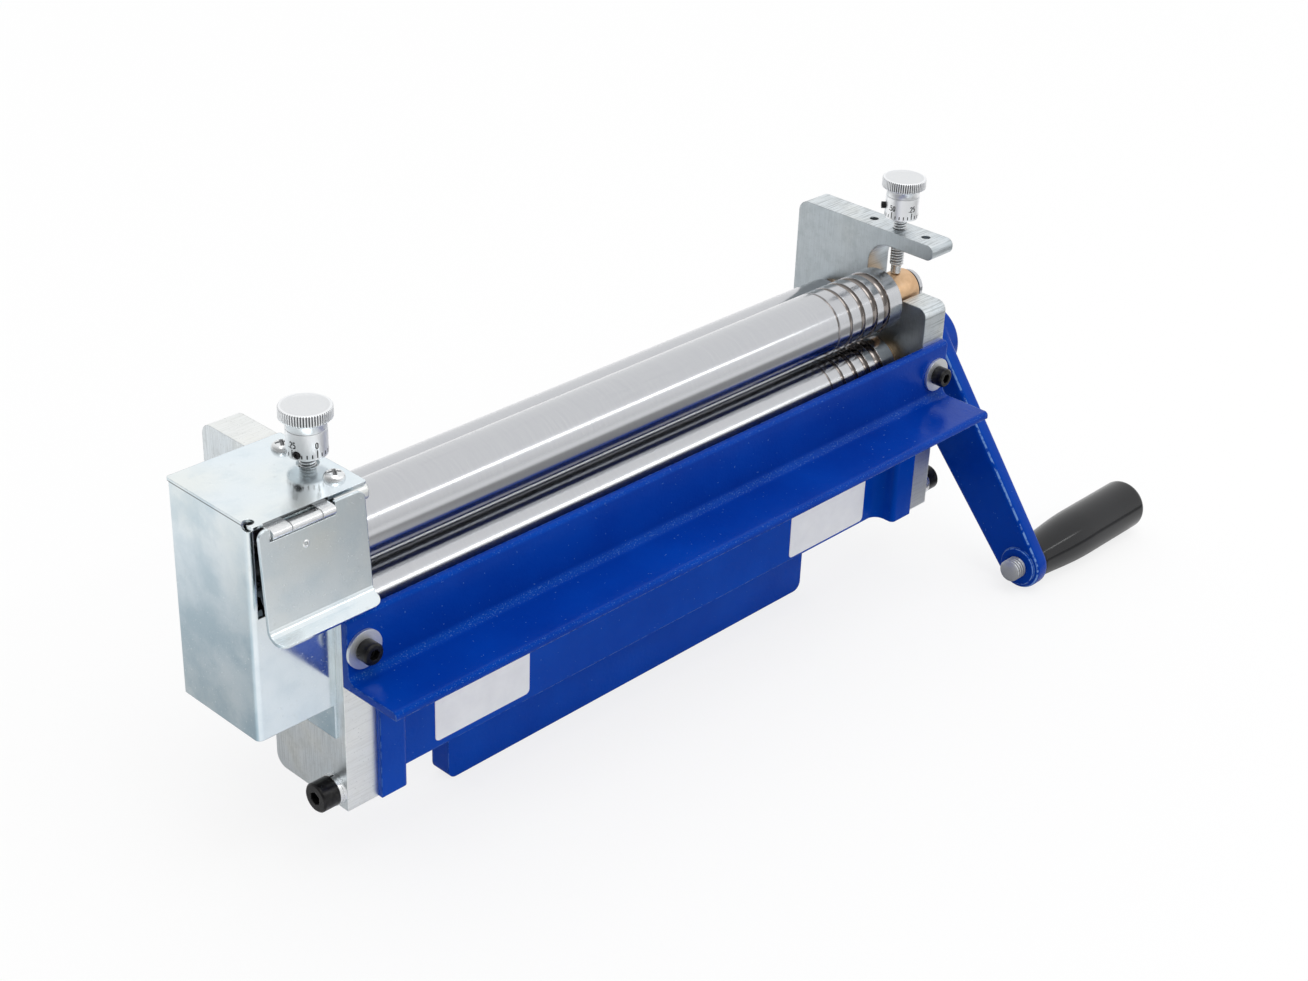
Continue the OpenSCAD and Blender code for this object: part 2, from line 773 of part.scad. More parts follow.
// An open retaining ring in a shaft groove
module open_ring(x, t, z, d, bore) {
  f = seat_fit;
  difference() {
    tube_x(x + f, t - 2 * f, roll_y, z, d, bore + 2 * f);
    translate([x - 1, roll_y - d / 8, z - d]) cube([t + 2, d / 4, d]);
  }
}

module upper_gear_clip() {
  color([0.12, 0.12, 0.12]) open_ring(-gear_end - clip_gap - clip_t, clip_t, upper_z, clip_d, clip_groove_d);
}

module lower_gear_clip() {
  color([0.12, 0.12, 0.12]) open_ring(-gear_end - clip_gap - clip_t, clip_t, lower_z, clip_d, clip_groove_d);
}

module upper_retaining_ring() {
  color([0.08, 0.08, 0.08]) open_ring(ring_x, ring_t, upper_z, ring_d, groove_d);
}

// A coil of round wire standing on the bottom of its pocket
module lift_spring(x) {
  sides = 6;
  steps = round(spring_turns * 12);
  mean_r = (spring_d - spring_wire) / 2;
  wire_r = spring_wire / 2;
  low = pocket_low + wire_r + 0.05;
  rise = spring_top - wire_r - low;
  pts = [for (i = [0:steps]) for (k = [0:sides - 1])
    let (a = i * 30, b = k * 360 / sides, r = mean_r + wire_r * cos(b))
    [r * cos(a), r * sin(a), low + rise * i / steps + wire_r * sin(b)]];
  walls = [for (i = [0:steps - 1]) for (k = [0:sides - 1])
    let (n = (k + 1) % sides)
    [i * sides + k, i * sides + n, (i + 1) * sides + n, (i + 1) * sides + k]];
  ends = [[for (k = [sides - 1:-1:0]) k], [for (k = [0:sides - 1]) steps * sides + k]];
  translate([x, roll_y, 0]) polyhedron(pts, concat(walls, ends));
}

module lift_spring_left() {
  color([0.5, 0.5, 0.5]) lift_spring(-screw_x);
}

module lift_spring_right() {
  color([0.5, 0.5, 0.5]) lift_spring(screw_x);
}

module adjusting_screw(x) {
  top = knob_z + knob_h / 2;
  translate([x, roll_y, 0]) {
    translate([0, 0, tip_z]) cylinder(d = tip_d, h = tip_len + eps);
    translate([0, 0, tip_z + tip_len]) cylinder(d = screw_d, h = top - tip_z - tip_len);
  }
}

module left_adjusting_screw() {
  color([0.6, 0.6, 0.6]) adjusting_screw(-screw_x);
}

module right_adjusting_screw() {
  color([0.6, 0.6, 0.6]) adjusting_screw(screw_x);
}

// A graduated ring with a tapped hole for its set screw
module dial(x, angle, rise) {
  translate([x, roll_y, dial_z]) difference() {
    cylinder(d = dial_d, h = dial_h);
    translate([0, 0, -1]) cylinder(d = screw_d + 2 * seat_fit, h = dial_h + 2);
    rotate([0, 0, angle]) translate([0, 0, rise]) rotate([0, 90, 0]) cylinder(d = set_d, h = dial_d);
  }
}

module left_dial() {
  color([0.78, 0.79, 0.78]) dial(-screw_x, set_angle[0], set_rise[0]);
}

module right_dial() {
  color([0.78, 0.79, 0.78]) dial(screw_x, set_angle[1], set_rise[1]);
}

module set_screw(x, angle, rise) {
  start = screw_d / 2 + 2 * seat_fit;
  translate([x, roll_y, dial_z + rise]) rotate([0, 0, angle]) translate([start, 0, 0]) rotate([0, 90, 0])
    difference() {
      cylinder(d = set_d - 2 * seat_fit, h = dial_d / 2 + set_proud - start);
      translate([0, 0, dial_d / 2 + set_proud - start - 1]) cylinder(d = set_d / 2, h = 2, $fn = 6);
    }
}

module left_set_screw() {
  color([0.1, 0.1, 0.1]) set_screw(-screw_x, set_angle[0], set_rise[0]);
}

module right_set_screw() {
  color([0.1, 0.1, 0.1]) set_screw(screw_x, set_angle[1], set_rise[1]);
}

// A knob with a collar below it and a blind bore for its screw
module knob(x) {
  r = knob_d / 2;
  translate([x, roll_y, 0]) difference() {
    union() {
      translate([0, 0, collar_z]) cylinder(d = collar_d, h = collar_h + eps);
      translate([0, 0, knob_z]) rotate_extrude() polygon([[0, 0], [r - knob_edge, 0], [r, knob_edge],
        [r, knob_h - knob_edge], [r - knob_edge, knob_h], [0, knob_h]]);
    }
    translate([0, 0, collar_z - 1]) cylinder(d = screw_d + 2 * seat_fit,
      h = collar_h + knob_h / 2 + 1 + seat_fit);
  }
}

module left_knob() {
  color([0.74, 0.74, 0.73]) knob(-screw_x);
}

module right_knob() {
  color([0.74, 0.74, 0.73]) knob(screw_x);
}

module rear_screw(x) {
  translate([x, rear_y, 0]) {
    translate([0, 0, rear_tip_z - tip_len]) cylinder(d = tip_d, h = tip_len);
    translate([0, 0, rear_knob_z + 2]) cylinder(d = screw_d, h = rear_tip_z - tip_len - rear_knob_z - 2 + eps);
  }
}

module left_rear_screw() {
  color([0.6, 0.6, 0.6]) rear_screw(-screw_x);
}

module right_rear_screw() {
  color([0.6, 0.6, 0.6]) rear_screw(screw_x);
}

module rear_knob(x) {
  r = rear_knob_d / 2;
  translate([x, rear_y, rear_knob_z]) difference() {
    rotate_extrude() polygon([[0, 0], [r - knob_edge, 0], [r, knob_edge],
      [r, rear_knob_h - knob_edge], [r - knob_edge, rear_knob_h], [0, rear_knob_h]]);
    translate([0, 0, 2 - seat_fit]) cylinder(d = screw_d + 2 * seat_fit, h = rear_knob_h);
  }
}

module left_rear_knob() {
  color([0.74, 0.74, 0.73]) rear_knob(-screw_x);
}

module right_rear_knob() {
  color([0.74, 0.74, 0.73]) rear_knob(screw_x);
}

// Plan of the three folded walls of the cover
module cover_plan() {
  far = -outer_x + 3 * cover_bend;
  difference() {
    round_box(cover_left, cover_front, far, cover_back, cover_bend);
    round_box(cover_left + cover_t, cover_front + cover_t, far + 5, cover_back - cover_t, cover_bend - cover_t);
    translate([-outer_x, cover_front - 1]) square([4 * cover_bend, cover_depth + 2]);
  }
}

module gear_cover() {
  walls = plate_top - cover_bottom;
  window_z = angle_top + window_low;
  color([0.78, 0.79, 0.78]) difference() {
    union() {
      translate([0, 0, cover_bottom]) linear_extrude(walls + eps) cover_plan();
      translate([0, 0, plate_top]) linear_extrude(cover_t)
        round_box(cover_left, lid_front, lid_right, cover_back, 1);
      translate([-outer_x - cover_t, cover_front, cover_bottom - tab_drop])
        cube([cover_t, tab_depth, tab_drop + tab_top - cover_bottom]);
      translate([-outer_x - cover_t, cover_front, tab_top - eps])
        cube([cover_t, flange_depth, window_z - tab_top]);
    }
    translate([cover_left + strip_w, cover_front - 1, window_z])
      cube([cover_out, cover_t + 1 + eps, plate_top - window_z]);
    translate([cover_left + relief_r * 0.7, cover_front + relief_r * 0.3, plate_top]) sphere(relief_r);
    translate([-screw_x, roll_y, plate_top - 1]) cylinder(d = screw_d + 2, h = cover_t + 2);
    for (s = [-1, 1]) translate([-screw_x, roll_y + s * cover_hole_pitch / 2, plate_top - 1])
      cylinder(d = cover_screw_d + 0.4, h = cover_t + 2);
  }
}

module cover_screws() {
  r = (pow(cover_head_d / 2, 2) + pow(cover_head_h, 2)) / (2 * cover_head_h);
  color([0.8, 0.8, 0.8]) for (s = [-1, 1]) translate([-screw_x, roll_y + s * cover_hole_pitch / 2,
    plate_top + cover_t]) {
    intersection() {
      translate([0, 0, cover_head_h - r]) sphere(r);
      cylinder(d = cover_head_d, h = cover_head_h);
    }
    translate([0, 0, -arm_t - 1]) cylinder(d = cover_screw_d - 2 * seat_fit, h = arm_t + 1 + eps);
  }
}

// A knuckle of the hinge barrel; a strap leaves it backwards or downwards
module knuckle(x, length, bore) {
  tube_x(x, length, hinge_y, hinge_z, barrel_d, bore);
}

module hinge_leaf() {
  back = cover_front + leaf_depth;
  last = knuckle_first + knuckle_mid;
  top = hinge_z + barrel_d / 2 - leaf_t;
  color([0.76, 0.77, 0.76]) {
    knuckle(hinge_left, knuckle_first - knuckle_gap, pin_d + 2 * seat_fit);
    knuckle(hinge_left + last + knuckle_gap, hinge_len - last - knuckle_gap, pin_d + 2 * seat_fit);
    translate([hinge_left, hinge_y, top]) cube([knuckle_first - knuckle_gap, back - hinge_y, leaf_t]);
    translate([hinge_left + last + knuckle_gap, hinge_y, top])
      cube([hinge_len - last - knuckle_gap, back - hinge_y, leaf_t]);
    translate([hinge_left, lid_front + 1, top]) cube([hinge_len, back - lid_front - 1, leaf_t]);
  }
}

module hinge_pin() {
  color([0.55, 0.55, 0.55]) rod_x(hinge_left, hinge_len, hinge_y, hinge_z, pin_d);
}

// Section of the flap in y and z about the hinge axis, with its turned-out lip
module flap_shape() {
  bend_y = flap_face - lip_r;
  far = 3 * (lip_r + cover_t);
  translate([flap_face, -flap_drop]) square([cover_t, flap_drop + flap_ear]);
  translate([bend_y, -flap_drop]) {
    intersection() {
      difference() {
        circle(lip_r + cover_t);
        circle(lip_r);
      }
      polygon([[0, 0], [far, eps], [far, -far * tan(lip_bend / 2)], [far * cos(lip_bend),
        -far * sin(lip_bend)]]);
    }
    rotate(-lip_bend) translate([lip_r, -lip_len]) square([cover_t, lip_len + eps]);
  }
}

module cover_flap() {
  notch = barrel_d / 2 + 0.5;
  right = flap_left + flap_w;
  color([0.78, 0.79, 0.78]) translate([0, hinge_y, hinge_z]) rotate([-flap_lean, 0, 0]) difference() {
    along_x(flap_left, flap_w) flap_shape();
    translate([hinge_left - 0.6, flap_face - 1, -notch])
      cube([hinge_len + 1.2, cover_t + 2, notch + flap_ear + 1]);
    translate([0, flap_face + cover_t + 1, 0]) rotate([90, 0, 0]) linear_extrude(cover_t + 2) {
      corner_cut(flap_left, flap_ear, flap_round, 1, -1);
      corner_cut(right, flap_ear, flap_round, -1, -1);
    }
    translate([0, flap_face - lip_r, -flap_drop]) rotate([-lip_bend, 0, 0])
      translate([0, lip_r + cover_t + 1, 0])
      rotate([90, 0, 0]) linear_extrude(cover_t + 2) {
        corner_cut(flap_left, -lip_len, lip_round, 1, 1);
        corner_cut(right, -lip_len, lip_round, -1, 1);
      }
  }
}

module flap_leaf() {
  x = hinge_left + knuckle_first;
  color([0.76, 0.77, 0.76]) translate([0, hinge_y, hinge_z]) rotate([-flap_lean, 0, 0])
    translate([0, -hinge_y, -hinge_z]) {
    knuckle(x, knuckle_mid, pin_d + 2 * run_fit);
    difference() {
      translate([x, hinge_y, hinge_z - leaf_drop]) cube([knuckle_mid, barrel_d / 2, leaf_drop]);
      translate([x - 1, hinge_y - 1, hinge_z - leaf_drop - 1])
        cube([knuckle_mid + 2, 1 + barrel_d / 2 - leaf_t, leaf_drop + 2]);
    }
  }
}

// Outline of the crank arm along +X of its own plane, with tangent sides
module arm_shape() {
  circle(hub_r);
  translate([crank_r, 0]) circle(arm_end_r);
  polygon([[hub_r * sin(taper), hub_r * cos(taper)], [crank_r + arm_end_r * sin(taper), arm_end_r * cos(taper)],
    [crank_r + arm_end_r * sin(taper), -arm_end_r * cos(taper)], [hub_r * sin(taper), -hub_r * cos(taper)]]);
}

module crank_arm() {
  color([0.01, 0.2, 0.6]) difference() {
    union() {
      along_x(arm_x, crank_t) translate([roll_y, lower_z]) rotate(180 + crank_angle) arm_shape();
      rod_x(hub_x, hub_len, roll_y, lower_z, 2 * hub_r);
      rod_x(arm_x - boss_t, boss_t + 1, roll_y + crank_y, lower_z + crank_z, 2 * boss_r);
    }
    rod_x(hub_x - 1, hub_len + 2, roll_y, lower_z, seat_d + 2 * seat_fit);
    translate([hub_x - 1, roll_y - key_w / 2, lower_z])
      cube([hub_len + 2, key_w, seat_d / 2 + key_w / 2 + 0.1]);
    rod_x(arm_x - boss_t - 1, crank_t + boss_t + 2, roll_y + crank_y, lower_z + crank_z, spindle_d);
  }
}

module crank_washer() {
  color([0.8, 0.81, 0.8]) tube_x(hub_end, crank_washer_t, roll_y, lower_z, crank_washer_d, crank_screw_d + 0.4);
}

module crank_screw() {
  color([0.05, 0.05, 0.05]) translate([hub_end + crank_washer_t, roll_y, lower_z]) rotate([0, 90, 0])
    socket_screw(crank_screw_d, base_head_d, base_head_h, hub_len - 5);
}

module handle_spindle() {
  start = arm_x - boss_t - spindle_stub;
  seat = grip_end - recess_depth + 0.4;
  color([0.66, 0.66, 0.65]) {
    rod_x(start, seat - start, roll_y + crank_y, lower_z + crank_z, spindle_d - 2 * seat_fit);
    rod_x(seat - eps, spindle_head_h, roll_y + crank_y, lower_z + crank_z, spindle_head_d);
  }
}

// Half the grip's diameter at a share of its length
function grip_r(s) = (grip_d + (grip_max_d - grip_d) * pow(sin(90 * min(1, s / grip_swell)), 1.4)) / 2;

module handle_grip() {
  steps = 24;
  straight = grip_len - grip_round;
  swell = [for (i = [0:steps]) [grip_r(i / steps * straight / grip_len), i / steps * straight]];
  rim = [for (a = [15:15:90]) [grip_max_d / 2 - grip_round * (1 - cos(a)), straight + grip_round * sin(a)]];
  color([0.03, 0.03, 0.03]) translate([grip_x, roll_y + crank_y, lower_z + crank_z]) rotate([0, 90, 0])
    difference() {
    rotate_extrude() polygon(concat([[0, 0]], swell, rim, [[0, grip_len]]));
    translate([0, 0, -1]) cylinder(d = spindle_d + 2 * run_fit, h = grip_len);
    translate([0, 0, grip_len - recess_depth]) cylinder(d = recess_d, h = recess_depth + 1);
  }
}

left_side_plate();
right_side_plate();
front_angle();
base_casting();
vice_bar();
angle_washers();
angle_screws();
base_bolts();
base_spring_washers();
base_flat_washers();
lower_bush_left();
lower_bush_right();
upper_bush_left();
upper_bush_right();
rear_bush_left();
rear_bush_right();
upper_roll();
lower_roll();
rear_roll();
upper_gear();
lower_gear();
upper_gear_key();
lower_gear_key();
upper_gear_clip();
lower_gear_clip();
upper_retaining_ring();
lift_spring_left();
lift_spring_right();
left_adjusting_screw();
right_adjusting_screw();
left_dial();
right_dial();
left_knob();
right_knob();
left_set_screw();
right_set_screw();
left_rear_screw();
right_rear_screw();
left_rear_knob();
right_rear_knob();
gear_cover();
cover_screws();
hinge_leaf();
hinge_pin();
cover_flap();
flap_leaf();
crank_arm();
crank_key();
crank_washer();
crank_screw();
handle_spindle();
handle_grip();
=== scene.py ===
"""Looks for a vice-held bench slip roll: plated plates and sheet, ground rolls, blue enamel, knurled knobs.

Lengths in this file are millimetres until they reach a mesh, a light or the camera, which take metres.
"""

import json
import math

import bmesh
import bpy
import numpy as np
from mathutils import Matrix, Vector
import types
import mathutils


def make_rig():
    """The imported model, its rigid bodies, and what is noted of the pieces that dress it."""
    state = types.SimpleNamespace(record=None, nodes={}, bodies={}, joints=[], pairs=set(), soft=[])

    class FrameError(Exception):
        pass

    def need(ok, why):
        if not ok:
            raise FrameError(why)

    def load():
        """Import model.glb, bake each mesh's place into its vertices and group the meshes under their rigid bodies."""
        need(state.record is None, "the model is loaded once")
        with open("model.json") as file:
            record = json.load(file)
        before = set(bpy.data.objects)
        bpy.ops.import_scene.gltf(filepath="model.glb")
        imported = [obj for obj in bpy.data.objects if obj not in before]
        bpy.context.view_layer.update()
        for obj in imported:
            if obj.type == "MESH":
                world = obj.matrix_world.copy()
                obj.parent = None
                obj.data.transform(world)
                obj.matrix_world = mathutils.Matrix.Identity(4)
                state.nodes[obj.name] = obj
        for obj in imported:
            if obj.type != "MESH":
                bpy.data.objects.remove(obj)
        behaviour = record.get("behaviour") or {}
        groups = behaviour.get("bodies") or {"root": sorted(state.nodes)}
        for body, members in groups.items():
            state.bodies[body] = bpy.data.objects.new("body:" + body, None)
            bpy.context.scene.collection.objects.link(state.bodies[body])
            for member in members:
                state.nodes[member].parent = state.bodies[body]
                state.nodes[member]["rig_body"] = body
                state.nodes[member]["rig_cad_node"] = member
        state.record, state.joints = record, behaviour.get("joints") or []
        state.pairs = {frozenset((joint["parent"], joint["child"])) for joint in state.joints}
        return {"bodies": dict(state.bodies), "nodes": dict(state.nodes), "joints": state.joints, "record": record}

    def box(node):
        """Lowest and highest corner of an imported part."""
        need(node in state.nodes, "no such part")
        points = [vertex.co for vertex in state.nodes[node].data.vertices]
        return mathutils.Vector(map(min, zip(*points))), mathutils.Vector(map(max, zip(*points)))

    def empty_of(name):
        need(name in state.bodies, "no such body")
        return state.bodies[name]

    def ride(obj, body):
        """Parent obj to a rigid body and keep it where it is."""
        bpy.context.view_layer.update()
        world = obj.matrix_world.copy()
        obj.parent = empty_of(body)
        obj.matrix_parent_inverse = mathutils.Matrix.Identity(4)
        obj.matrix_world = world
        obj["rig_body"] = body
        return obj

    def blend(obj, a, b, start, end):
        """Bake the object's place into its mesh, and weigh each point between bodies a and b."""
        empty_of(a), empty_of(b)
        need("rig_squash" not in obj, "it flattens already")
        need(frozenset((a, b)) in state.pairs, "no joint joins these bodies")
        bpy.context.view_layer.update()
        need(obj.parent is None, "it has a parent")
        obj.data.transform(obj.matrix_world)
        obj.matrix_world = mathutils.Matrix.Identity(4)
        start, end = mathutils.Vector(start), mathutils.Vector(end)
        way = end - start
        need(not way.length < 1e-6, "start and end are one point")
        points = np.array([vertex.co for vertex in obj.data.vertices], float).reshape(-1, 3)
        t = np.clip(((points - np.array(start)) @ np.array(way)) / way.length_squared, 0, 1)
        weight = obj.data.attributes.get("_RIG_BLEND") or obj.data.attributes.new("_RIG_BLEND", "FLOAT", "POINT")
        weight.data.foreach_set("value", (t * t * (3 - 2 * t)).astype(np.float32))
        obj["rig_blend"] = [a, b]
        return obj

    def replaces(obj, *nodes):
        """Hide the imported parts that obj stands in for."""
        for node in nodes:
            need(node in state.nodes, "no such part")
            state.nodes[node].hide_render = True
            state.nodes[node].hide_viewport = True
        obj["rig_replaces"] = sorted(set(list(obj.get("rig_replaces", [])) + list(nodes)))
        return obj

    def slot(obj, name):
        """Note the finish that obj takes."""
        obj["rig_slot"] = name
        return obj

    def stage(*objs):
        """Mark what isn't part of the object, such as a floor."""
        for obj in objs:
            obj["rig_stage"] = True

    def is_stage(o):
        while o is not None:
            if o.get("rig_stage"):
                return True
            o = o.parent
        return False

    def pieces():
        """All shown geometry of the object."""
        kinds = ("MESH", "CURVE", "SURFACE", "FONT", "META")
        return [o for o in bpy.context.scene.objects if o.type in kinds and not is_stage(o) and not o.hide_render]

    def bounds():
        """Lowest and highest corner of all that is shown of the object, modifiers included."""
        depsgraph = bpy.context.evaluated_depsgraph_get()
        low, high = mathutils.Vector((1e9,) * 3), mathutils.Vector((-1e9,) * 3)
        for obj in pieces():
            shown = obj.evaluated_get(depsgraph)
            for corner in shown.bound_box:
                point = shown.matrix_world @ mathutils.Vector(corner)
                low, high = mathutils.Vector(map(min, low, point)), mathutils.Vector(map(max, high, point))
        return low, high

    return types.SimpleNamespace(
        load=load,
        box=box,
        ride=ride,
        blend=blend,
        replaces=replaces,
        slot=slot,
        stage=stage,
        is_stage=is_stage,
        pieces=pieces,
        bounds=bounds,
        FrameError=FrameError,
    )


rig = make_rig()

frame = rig.load()
cad_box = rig.bounds()
nodes = frame["nodes"]
MM = 0.001
TAU = 2 * math.pi


def span(node):
    """The lowest and highest corner of a solid at rest, in millimetres."""
    return np.asarray(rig.box(node), float) / MM


# Places and sizes of the part, the same as in the solids.
SCREW_X, SCREW_R, TIP_R, TIP_LEN = 161.0, 3.0, 2.25, 4.0
ROLL_Y, LOWER_Z, UPPER_Z, REAR_Y = 5.2, 82.05, 113.25, 32.7
ROLL_R = 14.0
PLATE_TOP, LID_THICK, COVER_LEFT_X, COVER_SCREW_Y = 143.15, 1.2, -201.7, 14.2
DIAL_LOW = span("left_dial")[0, 2]
DIAL_R = 7.25
KNOB_R, KNOB_H, COLLAR_R, COLLAR_H = 9.4, 4.8, 7.1, 3.4
THREAD_PITCH, REAR_PITCH = 1.25, 1.0
ARM_IN, ARM_OUT = 178.6, 186.6
HUB_IN, HUB_OUT, HUB_R = 170.6, 192.6, 16.0
CRANK_LEN, CRANK_TURN, END_R = 111.0, math.radians(50.4), 10.8
CRANK_Y = ROLL_Y - CRANK_LEN * math.cos(CRANK_TURN)
CRANK_Z = LOWER_Z - CRANK_LEN * math.sin(CRANK_TURN)
GRIP_X, GRIP_LEN, GRIP_D, GRIP_MAX_D = 187.0, 78.0, 18.6, 23.4
WEB_Y = -10.6
HINGE_Y, HINGE_Z, FLAP_LEAN = -21.0, 141.4, math.radians(4.6)
SLIT_X, SLIT_Y, SLIT_Z, SLIT_HALF = -184.0, -18.2, 140.2, 13.0
FIRST_GROOVE_X, LAST_GROOVE_X, GROOVE_PITCH = 139.0, 107.0, 8.0
ANGLE_END_X = 172.0
FLOOR_Z = -15.3
BUSH_R = 8.8

# Edges that turn by more than this stay sharp, and points that are closer than this, in metres, are one.
SHARP_TURN = math.radians(42)
SAME_POINT = 1e-7


class Value:
    """A shader socket that takes part in arithmetic; every operator adds one Math node."""

    def __init__(self, graph, socket):
        self.graph = graph
        self.socket = socket

    def _math(self, operation, *given):
        return self.graph.node("ShaderNodeMath", {"operation": operation}, dict(enumerate(given))).out()

    def __add__(self, other):
        return self._math("ADD", self, other)

    def __radd__(self, other):
        return self._math("ADD", other, self)

    def __sub__(self, other):
        return self._math("SUBTRACT", self, other)

    def __rsub__(self, other):
        return self._math("SUBTRACT", other, self)

    def __mul__(self, other):
        return self._math("MULTIPLY", self, other)

    def __rmul__(self, other):
        return self._math("MULTIPLY", other, self)

    def __truediv__(self, other):
        return self._math("DIVIDE", self, other)

    def __rtruediv__(self, other):
        return self._math("DIVIDE", other, self)

    def __abs__(self):
        return self._math("ABSOLUTE", self)

    def __round__(self):
        return self._math("ROUND", self)

    def root(self):
        return self._math("SQRT", self)

    def least(self, other):
        return self._math("MINIMUM", self, other)

    def most(self, other):
        return self._math("MAXIMUM", self, other)

    def over(self, other):
        """1 where the value is greater than other."""
        return self._math("GREATER_THAN", self, other)

    def step(self, low, high):
        """0 at low, 1 at high, smooth between and flat beyond; low may be the greater of the two."""
        return self.graph.node("ShaderNodeMapRange", {"interpolation_type": "SMOOTHSTEP"},
                               {0: self, 1: low, 2: high, 3: 0.0, 4: 1.0}).out()


class Made:
    """A node that has been added, with its outputs by name or number."""

    def __init__(self, graph, made):
        self.graph = graph
        self.made = made

    def out(self, which=0):
        return Value(self.graph, self.made.outputs[which])


class Graph:
    """A node tree that nodes are added to."""

    def __init__(self, tree):
        self.tree = tree

    def node(self, kind, settings=None, inputs=None):
        """Adds a node, sets its settings first, then its sockets by name or number."""
        made = self.tree.nodes.new(kind)
        for key, value in (settings or {}).items():
            if key == "stops":
                ramp = made.color_ramp.elements
                for i, (at, colour) in enumerate(value):
                    stop = ramp[i] if i < len(ramp) else ramp.new(at)
                    stop.position = at
                    stop.color = (*colour, 1)
            else:
                setattr(made, key, value)
        for key, value in (inputs or {}).items():
            self.plug(made.inputs[key], value)
        return Made(self, made)

    def plug(self, socket, value):
        if isinstance(value, Value):
            self.tree.links.new(value.socket, socket)
        elif socket.type == "RGBA" and len(value) == 3:
            socket.default_value = (*value, 1)
        else:
            socket.default_value = value


class Paint(Graph):
    """One procedural material: its nodes, and a Principled shader that they feed."""

    def __init__(self, name, **fixed):
        self.material = bpy.data.materials.new(name)
        self.material.use_nodes = True
        super().__init__(self.material.node_tree)
        self.shader = self.tree.nodes["Principled BSDF"]
        self.place = self.node("ShaderNodeTexCoord").out("Object")
        for socket, value in fixed.items():
            self.set(socket.replace("_", " ").title().replace("Ior", "IOR"), value)

    def set(self, socket, value):
        self.plug(self.shader.inputs[socket], value)

    def noise(self, size, detail=3.0, rough=0.55, stretch=(1, 1, 1)):
        """Noise whose grains are about size millimetres; stretch makes them longer along an axis."""
        spread = self.node("ShaderNodeVectorMath", {"operation": "MULTIPLY"},
                           {0: self.place, 1: tuple(1 / (MM * size * s) for s in stretch)}).out()
        return self.node("ShaderNodeTexNoise", None,
                         {"Vector": spread, "Scale": 1.0, "Detail": detail, "Roughness": rough}).out("Fac")

    def ramp(self, value, *stops):
        """A colour that follows value through the stops."""
        return self.node("ShaderNodeValToRGB", {"stops": stops}, {0: value}).out("Color")

    def blend(self, share, first, second):
        """Two colours mixed by share."""
        made = self.node("ShaderNodeMix", {"data_type": "RGBA"})
        for key, value in ((0, share), (6, first), (7, second)):
            self.plug(made.made.inputs[key], value)
        return made.out(2)

    def axes(self):
        """The three object coordinates in millimetres."""
        parts = self.node("ShaderNodeSeparateXYZ", None, {0: self.place})
        return [parts.out(i) * 1000 for i in range(3)]

    def facing(self):
        """The size of the three parts of the surface's own normal."""
        normal = self.node("ShaderNodeTexCoord").out("Normal")
        parts = self.node("ShaderNodeSeparateXYZ", None, {0: normal})
        return [abs(parts.out(i)) for i in range(3)]

    def groove(self):
        """How deep a point lies in a knurl or thread, 0 to 1, where the piece says so."""
        return self.node("ShaderNodeAttribute", {"attribute_name": "groove"}).out("Fac")

    def rounded(self, radius):
        """The normal with sharp corners rounded by a radius in millimetres."""
        return self.node("ShaderNodeBevel", {"samples": 4}, {"Radius": radius * MM}).out()

    def edge_band(self, reach):
        """1 within about reach millimetres of a sharp edge: where a rounded normal leaves the true one."""
        true = self.node("ShaderNodeNewGeometry").out("Normal")
        both = {0: self.rounded(reach), 1: true}
        same = self.node("ShaderNodeVectorMath", {"operation": "DOT_PRODUCT"}, both).out("Value")
        return same.step(0.995, 0.93)

    def bump(self, height, depth, edge=0.0):
        """Tilts the normal by a height that reaches depth millimetres; edge rounds sharp corners by that
        radius."""
        wanted = {"Strength": 1.0, "Distance": depth * MM, "Height": height}
        if edge:
            wanted["Normal"] = self.rounded(edge)
        self.set("Normal", self.node("ShaderNodeBump", None, wanted).out())


def blue_paint(name, deep, pale):
    """Gloss blue enamel: two close blues by a slow noise, the shallow dimples of sprayed paint, a few dust nibs, pale
    specks in the angle's fillet that are painted glints, and painted highlights in paler dashes along sharp edges and
    the crank arm's rounded rim."""
    p = Paint(name, specular_ior_level=0.22, specular_tint=(0.02, 0.45, 1.0))
    slow = p.noise(38)
    nibs = p.noise(1.3, 1).step(0.75, 0.78)
    across, ahead, upward = p.facing()
    x = p.axes()[0]
    on_angle, on_crank = x.step(ANGLE_END_X, ANGLE_END_X - 4), x.step(ANGLE_END_X + 4, ANGLE_END_X + 6)
    fillet = ahead.step(0.2, 0.4) * upward.step(0.2, 0.4) * on_angle
    # Painted glints: pale specks in the angle's fillet that stand in for its highlight.
    specks = fillet * p.noise(0.6, 2).step(0.58, 0.68)
    blue = p.ramp(slow, (0.3, deep), (0.7, pale))
    blue = p.blend((nibs * 0.4).most(specks * 0.32), blue, (0.12, 0.25, 0.55))
    # Painted highlight: paler blue dashes along sharp edges and along the crank arm's rounded rim.
    rim = across.step(0.4, 0.6) * across.step(0.9, 0.75) * on_crank
    painted_edge_highlight = (p.edge_band(0.7) * 0.45 + rim) * p.noise(2.4, 2).step(0.36, 0.58)
    p.set("Base Color", p.blend(painted_edge_highlight.least(0.75), blue, (0.2, 0.36, 0.68)))
    p.set("Roughness", 0.15 + p.noise(9, 2) * 0.12)
    p.bump(p.noise(1.6, 1.5) + p.noise(6, 1.0) * 0.8 + nibs * 0.5, 0.08, 0.9)
    return p.material


